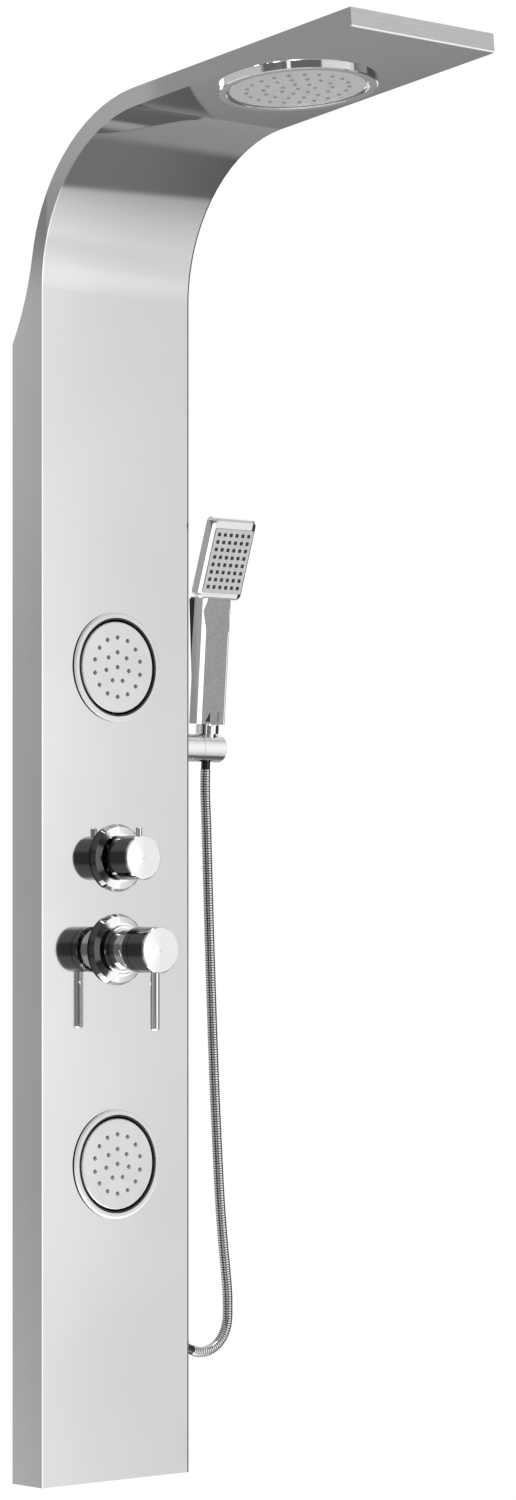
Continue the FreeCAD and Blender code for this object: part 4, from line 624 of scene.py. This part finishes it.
class StudioLight:
    """How bright the studio is along a ray: pale to the right and behind, darker to the left."""

    def __init__(self, recipe):
        self.recipe = recipe
        ray = recipe.node("ShaderNodeTexCoord", output="Generated")
        self.right, self.behind, self.up = recipe.axes(ray)
        self.height = abs(self.up)
        self.aside = -1.0 * self.right / self.behind
        self.low = recipe.fading(self.up, *LOW)
        self.level_band = recipe.between(self.up, *LEVEL_BAND)

    def panel_side(self):
        """What the panel, its bend and the arm's underside show."""
        recipe = self.recipe
        upright = recipe.fading(self.behind, *UPRIGHT)
        across = upright * ((self.aside - UPRIGHT_FOLD) / UPRIGHT_SPREAD) + (
            (1.0 - upright) * ((self.right - BEND_FOLD) / BEND_SPREAD))
        level = PANEL_LEVEL + (
            recipe.eased(across, *PANEL_LEFT) + recipe.eased(across, *PANEL_ACROSS))
        bright = recipe.ramped(self.behind, *PANEL_FADE) * (
            recipe.eased(self.height, *PANEL_ENDS) * level)
        turn = (self.right - BEND_EDGE_START).at_most(BEND_EDGE_REACH)
        ahead = recipe.fading(self.behind - BEND_EDGE_SLOPE * turn, *BEND_EDGE)
        rear = recipe.eased(self.behind, *REAR)
        beyond = self.low * recipe.eased(self.up, *BELOW_ARM) + (1.0 - self.low) * BACKDROP
        under = recipe.ramped(self.right, *UNDER_BEND) + recipe.eased(self.up, *ABOVE_HORIZON)
        return ahead * bright + (1.0 - ahead) * (rear * beyond + (1.0 - rear) * under)

    def front(self):
        """What the barrels, the rings and the hose show: a darker room with a few windows."""
        recipe = self.recipe
        tall = recipe.eased(self.right, *TALL_SIDE) * recipe.fading(self.height, *TALL_HEIGHT)
        opening = self.level_band + tall - self.level_band * tall
        window = opening * recipe.eased(self.right, *WINDOW_SIDE)
        slant = abs(self.behind + GRIP_WINDOW_BEHIND
                    + GRIP_WINDOW_TILT * (self.up + GRIP_WINDOW_UP))
        grip_window = recipe.fading(slant, *GRIP_WINDOW) * (
            recipe.between(self.up, *GRIP_WINDOW_HEIGHT))
        left_window = self.level_band * recipe.between(self.behind, *LEFT_WINDOW)
        left = recipe.fading(self.right, *LEFT_SIDE) * (
            GRIP_WINDOW_LEVEL * grip_window + LEFT_WINDOW_LEVEL * left_window)
        room = DARK_LEVEL + recipe.eased(self.height, *STEEP_LIGHT)
        return room + window * (WINDOW_LEVEL - room) + left

    def wall(self):
        """What the flanges show: the wall's side, paler to the right."""
        recipe = self.recipe
        column = recipe.eased(self.aside, *COLUMN_FLANGE) * recipe.eased(self.height, *COLUMN_ENDS)
        on_arm = recipe.eased(self.up, *ON_ARM)
        flange = on_arm * recipe.eased(self.up, *ARM_FLANGE) + (1.0 - on_arm) * column
        left = recipe.fading(self.right, *LEFT_WALL)
        shaded = recipe.eased(self.up, *UPPER_WALL) * (
            recipe.fading(self.right, *UPPER_WALL_SIDE) * (1.0 - left))
        side = left * flange + (1.0 - left) * recipe.eased(self.right, *RIGHT_WALL)
        return self.low * LOW_WALL_LEVEL + (1.0 - self.low) * side * (1.0 - shaded)

    def everywhere(self):
        recipe = self.recipe
        in_front = recipe.fading(self.behind, *IN_FRONT)
        left_side = in_front * self.front() + (1.0 - in_front) * self.wall()
        zone = recipe.eased(self.right, *PANEL_ZONE)
        strip = self.level_band * recipe.fading(self.behind, *DARK_STRIP_BEHIND) * (
            recipe.eased(self.right, *DARK_STRIP_SIDE))
        return strip * DARK_STRIP_LEVEL + (1.0 - strip) * (
            zone * self.panel_side() + (1.0 - zone) * left_side)


# ---------------------------------------------------------------- what a user can change

class ShowerColours(bpy.types.PropertyGroup):
    steel: FloatVectorProperty(
        name="Polished steel", description="Colour of the panel, its arm and its foot",
        subtype="COLOR", default=(0.62, 0.62, 0.625), min=0.0, max=1.0)
    brushed: FloatVectorProperty(
        name="Brushed steel", description="Colour of the plate at the arm's end",
        subtype="COLOR", default=(0.58, 0.58, 0.585), min=0.0, max=1.0)
    chrome: FloatVectorProperty(
        name="Chrome", description="Colour of the rings, taps, holder and hand shower",
        subtype="COLOR", default=(0.86, 0.865, 0.87), min=0.0, max=1.0)
    satin: FloatVectorProperty(
        name="Satin grip", description="Colour of the satin front of the hand shower's grip",
        subtype="COLOR", default=(0.40, 0.40, 0.405), min=0.0, max=1.0)
    plate: FloatVectorProperty(
        name="Spray plates", description="Colour of the plates round the nozzles",
        subtype="COLOR", default=(0.67, 0.67, 0.67), min=0.0, max=1.0)
    winding: FloatVectorProperty(
        name="Hose winding", description="Colour of the hose's ribs",
        subtype="COLOR", default=(0.86, 0.86, 0.87), min=0.0, max=1.0)
    rain_nozzle: FloatVectorProperty(
        name="Rain nozzles", description="Colour of the rain head's nozzles",
        subtype="COLOR", default=(0.45, 0.45, 0.455), min=0.0, max=1.0)
    nozzle: FloatVectorProperty(
        name="Jet nozzles", description="Colour of the body jets' nozzles and gaskets",
        subtype="COLOR", default=(0.27, 0.27, 0.275), min=0.0, max=1.0)
    dark_nozzle: FloatVectorProperty(
        name="Dark nozzles", description="Colour of the hand shower's nozzles",
        subtype="COLOR", default=(0.03, 0.03, 0.032), min=0.0, max=1.0)
    plastic: FloatVectorProperty(
        name="Mouldings", description="Colour of the plastic behind the panel",
        subtype="COLOR", default=(0.035, 0.035, 0.038), min=0.0, max=1.0)
    brass: FloatVectorProperty(
        name="Brass", description="Colour of the valves and water tubes",
        subtype="COLOR", default=(0.72, 0.52, 0.24), min=0.0, max=1.0)
    tarnish: FloatVectorProperty(
        name="Tarnish", description="Colour of the brass where it is tarnished",
        subtype="COLOR", default=(0.42, 0.30, 0.14), min=0.0, max=1.0)
    zinc: FloatVectorProperty(
        name="Zinc", description="Colour of the wall brackets and rails",
        subtype="COLOR", default=(0.55, 0.56, 0.58), min=0.0, max=1.0)
    floor: FloatVectorProperty(
        name="Floor", description="Colour of the floor under the column",
        subtype="COLOR", default=(0.85, 0.85, 0.85), min=0.0, max=1.0)


class ShowerSizes(bpy.types.PropertyGroup):
    hose_diameter: FloatProperty(
        name="Hose diameter", description="Width of the hose over its ribs",
        default=0.0112, min=0.004, max=0.02, unit="LENGTH")
    rib_pitch: FloatProperty(
        name="Rib pitch", description="Distance from one rib of the hose to the next",
        default=0.0027, min=0.001, max=0.01, unit="LENGTH")
    rib_depth: FloatProperty(
        name="Rib depth", description="Depth of the seams between the ribs",
        default=0.0006, min=0.0, max=0.002, unit="LENGTH")
    hose_sides: IntProperty(
        name="Hose sides", description="Sides of the hose's round section",
        default=20, min=8, max=64)
    floor_drop: FloatProperty(
        name="Floor", description="Depth of the floor under the column's foot",
        default=0.8, min=0.0, max=2.0, unit="LENGTH")
    floor_radius: FloatProperty(
        name="Floor radius", description="Radius of the floor",
        default=1.4, min=1.0, max=20.0, unit="LENGTH")
    lens: FloatProperty(
        name="Lens", description="Focal length of the camera, in millimetres",
        default=101.65, min=20.0, max=300.0)


class ShowerPiece:
    """What the operators share."""

    bl_options = {"REGISTER", "UNDO"}

    @property
    def colours(self):
        return bpy.context.scene.shower_colours

    @property
    def sizes(self):
        return bpy.context.scene.shower_sizes


CAMERA_PLACE = (-2.8289, -3.5351, -0.5033)
CAMERA_TURN = (math.radians(90.0), 0.0, math.radians(-41.0))
CAMERA_SHIFT = (-0.0008, 0.1112)
FLOOR_SIDES = 96
# Each lamp's name, its place, what it is aimed at, its width and its power.
LAMPS = (
    ("top_lamp", (0.2, -0.9, 3.0), (0.0, -0.2, -0.3), 1.6, 45.0),
    ("low_lamp", (0.0, -0.5, -1.85), (0.0, -0.35, 0.3), 1.0, 14.0),
)


class SHOWER_OT_stage(ShowerPiece, bpy.types.Operator):
    """Sets up the camera, the floor, the lamps and the world"""

    bl_idname = "shower.stage"
    bl_label = "Stage"

    def execute(self, context):
        self.camera(context)
        self.floor(context)
        self.lamps(context)
        self.world(context)
        context.scene.view_settings.view_transform = "Standard"
        return {"FINISHED"}

    def camera(self, context):
        camera = bpy.data.cameras.new("camera")
        camera.lens = self.sizes.lens
        camera.shift_x, camera.shift_y = CAMERA_SHIFT
        thing = bpy.data.objects.new("camera", camera)
        thing.location = CAMERA_PLACE
        thing.rotation_euler = CAMERA_TURN
        context.scene.collection.objects.link(thing)
        context.scene.camera = thing

    def floor(self, context):
        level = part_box("front_panel")[0].z - self.sizes.floor_drop
        radius = self.sizes.floor_radius
        angles = [2 * math.pi * side / FLOOR_SIDES for side in range(FLOOR_SIDES)]
        ring = [(radius * math.cos(angle), radius * math.sin(angle), level) for angle in angles]
        mesh = bpy.data.meshes.new("floor")
        mesh.from_pydata(ring, [], [tuple(range(FLOOR_SIDES))])
        thing = bpy.data.objects.new("floor", mesh)
        context.scene.collection.objects.link(thing)
        material, recipe, shader = finish("studio_floor", Roughness=0.9)
        cloud = recipe.noise(recipe.place(), 1.2, 2.0)
        recipe.feed(shader.inputs["Base Color"], recipe.mixed(
            cloud, shade(self.colours.floor, 0.98), shade(self.colours.floor)))
        mesh.materials.append(material)

    def lamps(self, context):
        for name, place, aim, size, power in LAMPS:
            lamp = bpy.data.lights.new(name, "AREA")
            lamp.shape = "DISK"
            lamp.size = size
            lamp.energy = power
            thing = bpy.data.objects.new(name, lamp)
            thing.location = place
            thing.rotation_euler = (Vector(aim) - Vector(place)).to_track_quat("-Z", "Y").to_euler()
            context.scene.collection.objects.link(thing)

    def world(self, context):
        world = bpy.data.worlds.new("studio")
        world.use_nodes = True
        background = world.node_tree.nodes["Background"]
        recipe = Recipe(world.node_tree)
        recipe.feed(background.inputs["Strength"], StudioLight(recipe).everywhere())
        background.inputs["Color"].default_value = shade(WHITE)
        context.scene.world = world


class SHOWER_OT_hose(ShowerPiece, bpy.types.Operator):
    """Makes the ribbed hose between the hand shower and the outlet"""

    bl_idname = "shower.hose"
    bl_label = "Hose"

    def execute(self, context):
        line = smooth_line(HOSE_ROUTE)
        join = min(range(len(line)), key=lambda index: (line[index] - Vector(HOSE_JOIN)).length)
        material = hose_steel(self.colours.winding)
        plain = self.sizes.hose_diameter
        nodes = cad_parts
        upper = ribbed_tube("hose_upper", line[:join + 1], self.sizes, plain, 0.0)
        lower = ribbed_tube("hose_lower", line[join:], self.sizes, 0.0, plain)
        for piece, path, way_out, nut in (
                (upper, line[:join + 1], line[0], nodes["hose_cone_nut"]),
                (lower, line[join:], line[-1], nodes["lower_hose_nut"])):
            piece.data.materials.append(material)
            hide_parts("shower_hose")
            tuple(way_out)
            line_length(path)
            [tuple(point) for point in path]
        tuple(HOSE_ROUTE[1])
        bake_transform(upper)
        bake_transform(lower)
        return {"FINISHED"}


class SHOWER_OT_panel_finish(ShowerPiece, bpy.types.Operator):
    """Finishes the folded panel, the arm's covers, its end plate and the body jets"""

    bl_idname = "shower.panel_finish"
    bl_label = "Panel, arm and jets"

    def execute(self, context):
        colours = self.colours
        dress(POLISHED, polished_steel(colours.steel))
        dress(JET_RINGS, jet_steel("jet_ring_steel", colours.steel, ring=True))
        dress(JET_FACES, jet_steel("jet_steel", colours.steel, ring=False))
        dress(("arm_end_cap",), brushed_steel(colours.brushed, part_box("arm_end_cap")[0].z))
        return {"FINISHED"}


class SHOWER_OT_chrome_finish(ShowerPiece, bpy.types.Operator):
    """Finishes the chrome rings, taps, holder, nuts and hand shower"""

    bl_idname = "shower.chrome_finish"
    bl_label = "Chrome pieces"

    def execute(self, context):
        bright = self.colours.chrome
        dress(CHROME, chrome("chrome", bright))
        # The barrels' chrome is darkened to paint in the dark reflections they show.
        dress(BARRELS, chrome("barrel_chrome_painted_dark", scaled(bright, 0.22)))
        for rose in ROSES:
            low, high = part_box(rose)
            dress((rose,), rose_chrome_painted_dark_left(rose + "_chrome", bright, (low + high) / 2))
        dress(CAPS, chrome("cap_chrome", scaled(bright, 0.89)))
        dress(("handset_body",), hand_shower_chrome(bright, self.colours.satin))
        return {"FINISHED"}


class SHOWER_OT_spray_finish(ShowerPiece, bpy.types.Operator):
    """Finishes the spray plates, their rubber nozzles and the gaskets"""

    bl_idname = "shower.spray_finish"
    bl_label = "Spray plates and nozzles"

    def execute(self, context):
        colours = self.colours
        dress(("rain_face",), satin_plate("rain_plate", colours.plate, 0.55))
        dress(("handset_face",), satin_plate("hand_plate", scaled(colours.plate, 1.1), 0.45))
        for names, name, colour in (
                (("rain_nozzle_mat",), "pale_rubber", colours.rain_nozzle),
                (JET_NOZZLES, "grey_rubber", colours.nozzle),
                (("handset_nozzles",), "dark_rubber", colours.dark_nozzle),
                (("jet_gaskets",), "gasket_rubber", colours.nozzle)):
            dress(names, soft_rubber(name, colour))
        return {"FINISHED"}


class SHOWER_OT_inner_finish(ShowerPiece, bpy.types.Operator):
    """Finishes the brackets, valves, tubes and mouldings behind the panel"""

    bl_idname = "shower.inner_finish"
    bl_label = "Pieces behind the panel"

    def execute(self, context):
        dress(ZINC, zinc_plate(self.colours.zinc))
        dress(MOULDINGS, moulded_plastic(self.colours.plastic))
        dress(BRASSWARE, cast_brass(self.colours.brass, self.colours.tarnish))
        return {"FINISHED"}


PIECES = (
    SHOWER_OT_stage, SHOWER_OT_hose, SHOWER_OT_panel_finish, SHOWER_OT_chrome_finish,
    SHOWER_OT_spray_finish, SHOWER_OT_inner_finish,
)


class SHOWER_PT_panel(bpy.types.Panel):
    """Lists the shower column's colours, sizes and pieces"""

    bl_idname = "SHOWER_PT_panel"
    bl_label = "Shower column"
    bl_space_type = "VIEW_3D"
    bl_region_type = "UI"
    bl_category = "Shower"

    def draw(self, context):
        for group in (context.scene.shower_colours, context.scene.shower_sizes):
            box = self.layout.box()
            for name in group.bl_rna.properties.keys():
                if name not in ("rna_type", "name"):
                    box.prop(group, name)
        for operator in PIECES:
            self.layout.operator(operator.bl_idname)


CLASSES = (ShowerColours, ShowerSizes, *PIECES, SHOWER_PT_panel)


def register():
    for item in CLASSES:
        bpy.utils.register_class(item)
    bpy.types.Scene.shower_colours = PointerProperty(type=ShowerColours)
    bpy.types.Scene.shower_sizes = PointerProperty(type=ShowerSizes)


def unregister():
    del bpy.types.Scene.shower_colours
    del bpy.types.Scene.shower_sizes
    for item in reversed(CLASSES):
        bpy.utils.unregister_class(item)


def main():
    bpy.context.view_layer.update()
    register()
    bpy.ops.shower.stage()
    bpy.ops.shower.hose()
    bpy.ops.shower.panel_finish()
    bpy.ops.shower.chrome_finish()
    bpy.ops.shower.spray_finish()
    bpy.ops.shower.inner_finish()


if __name__ == "__main__":
    main()
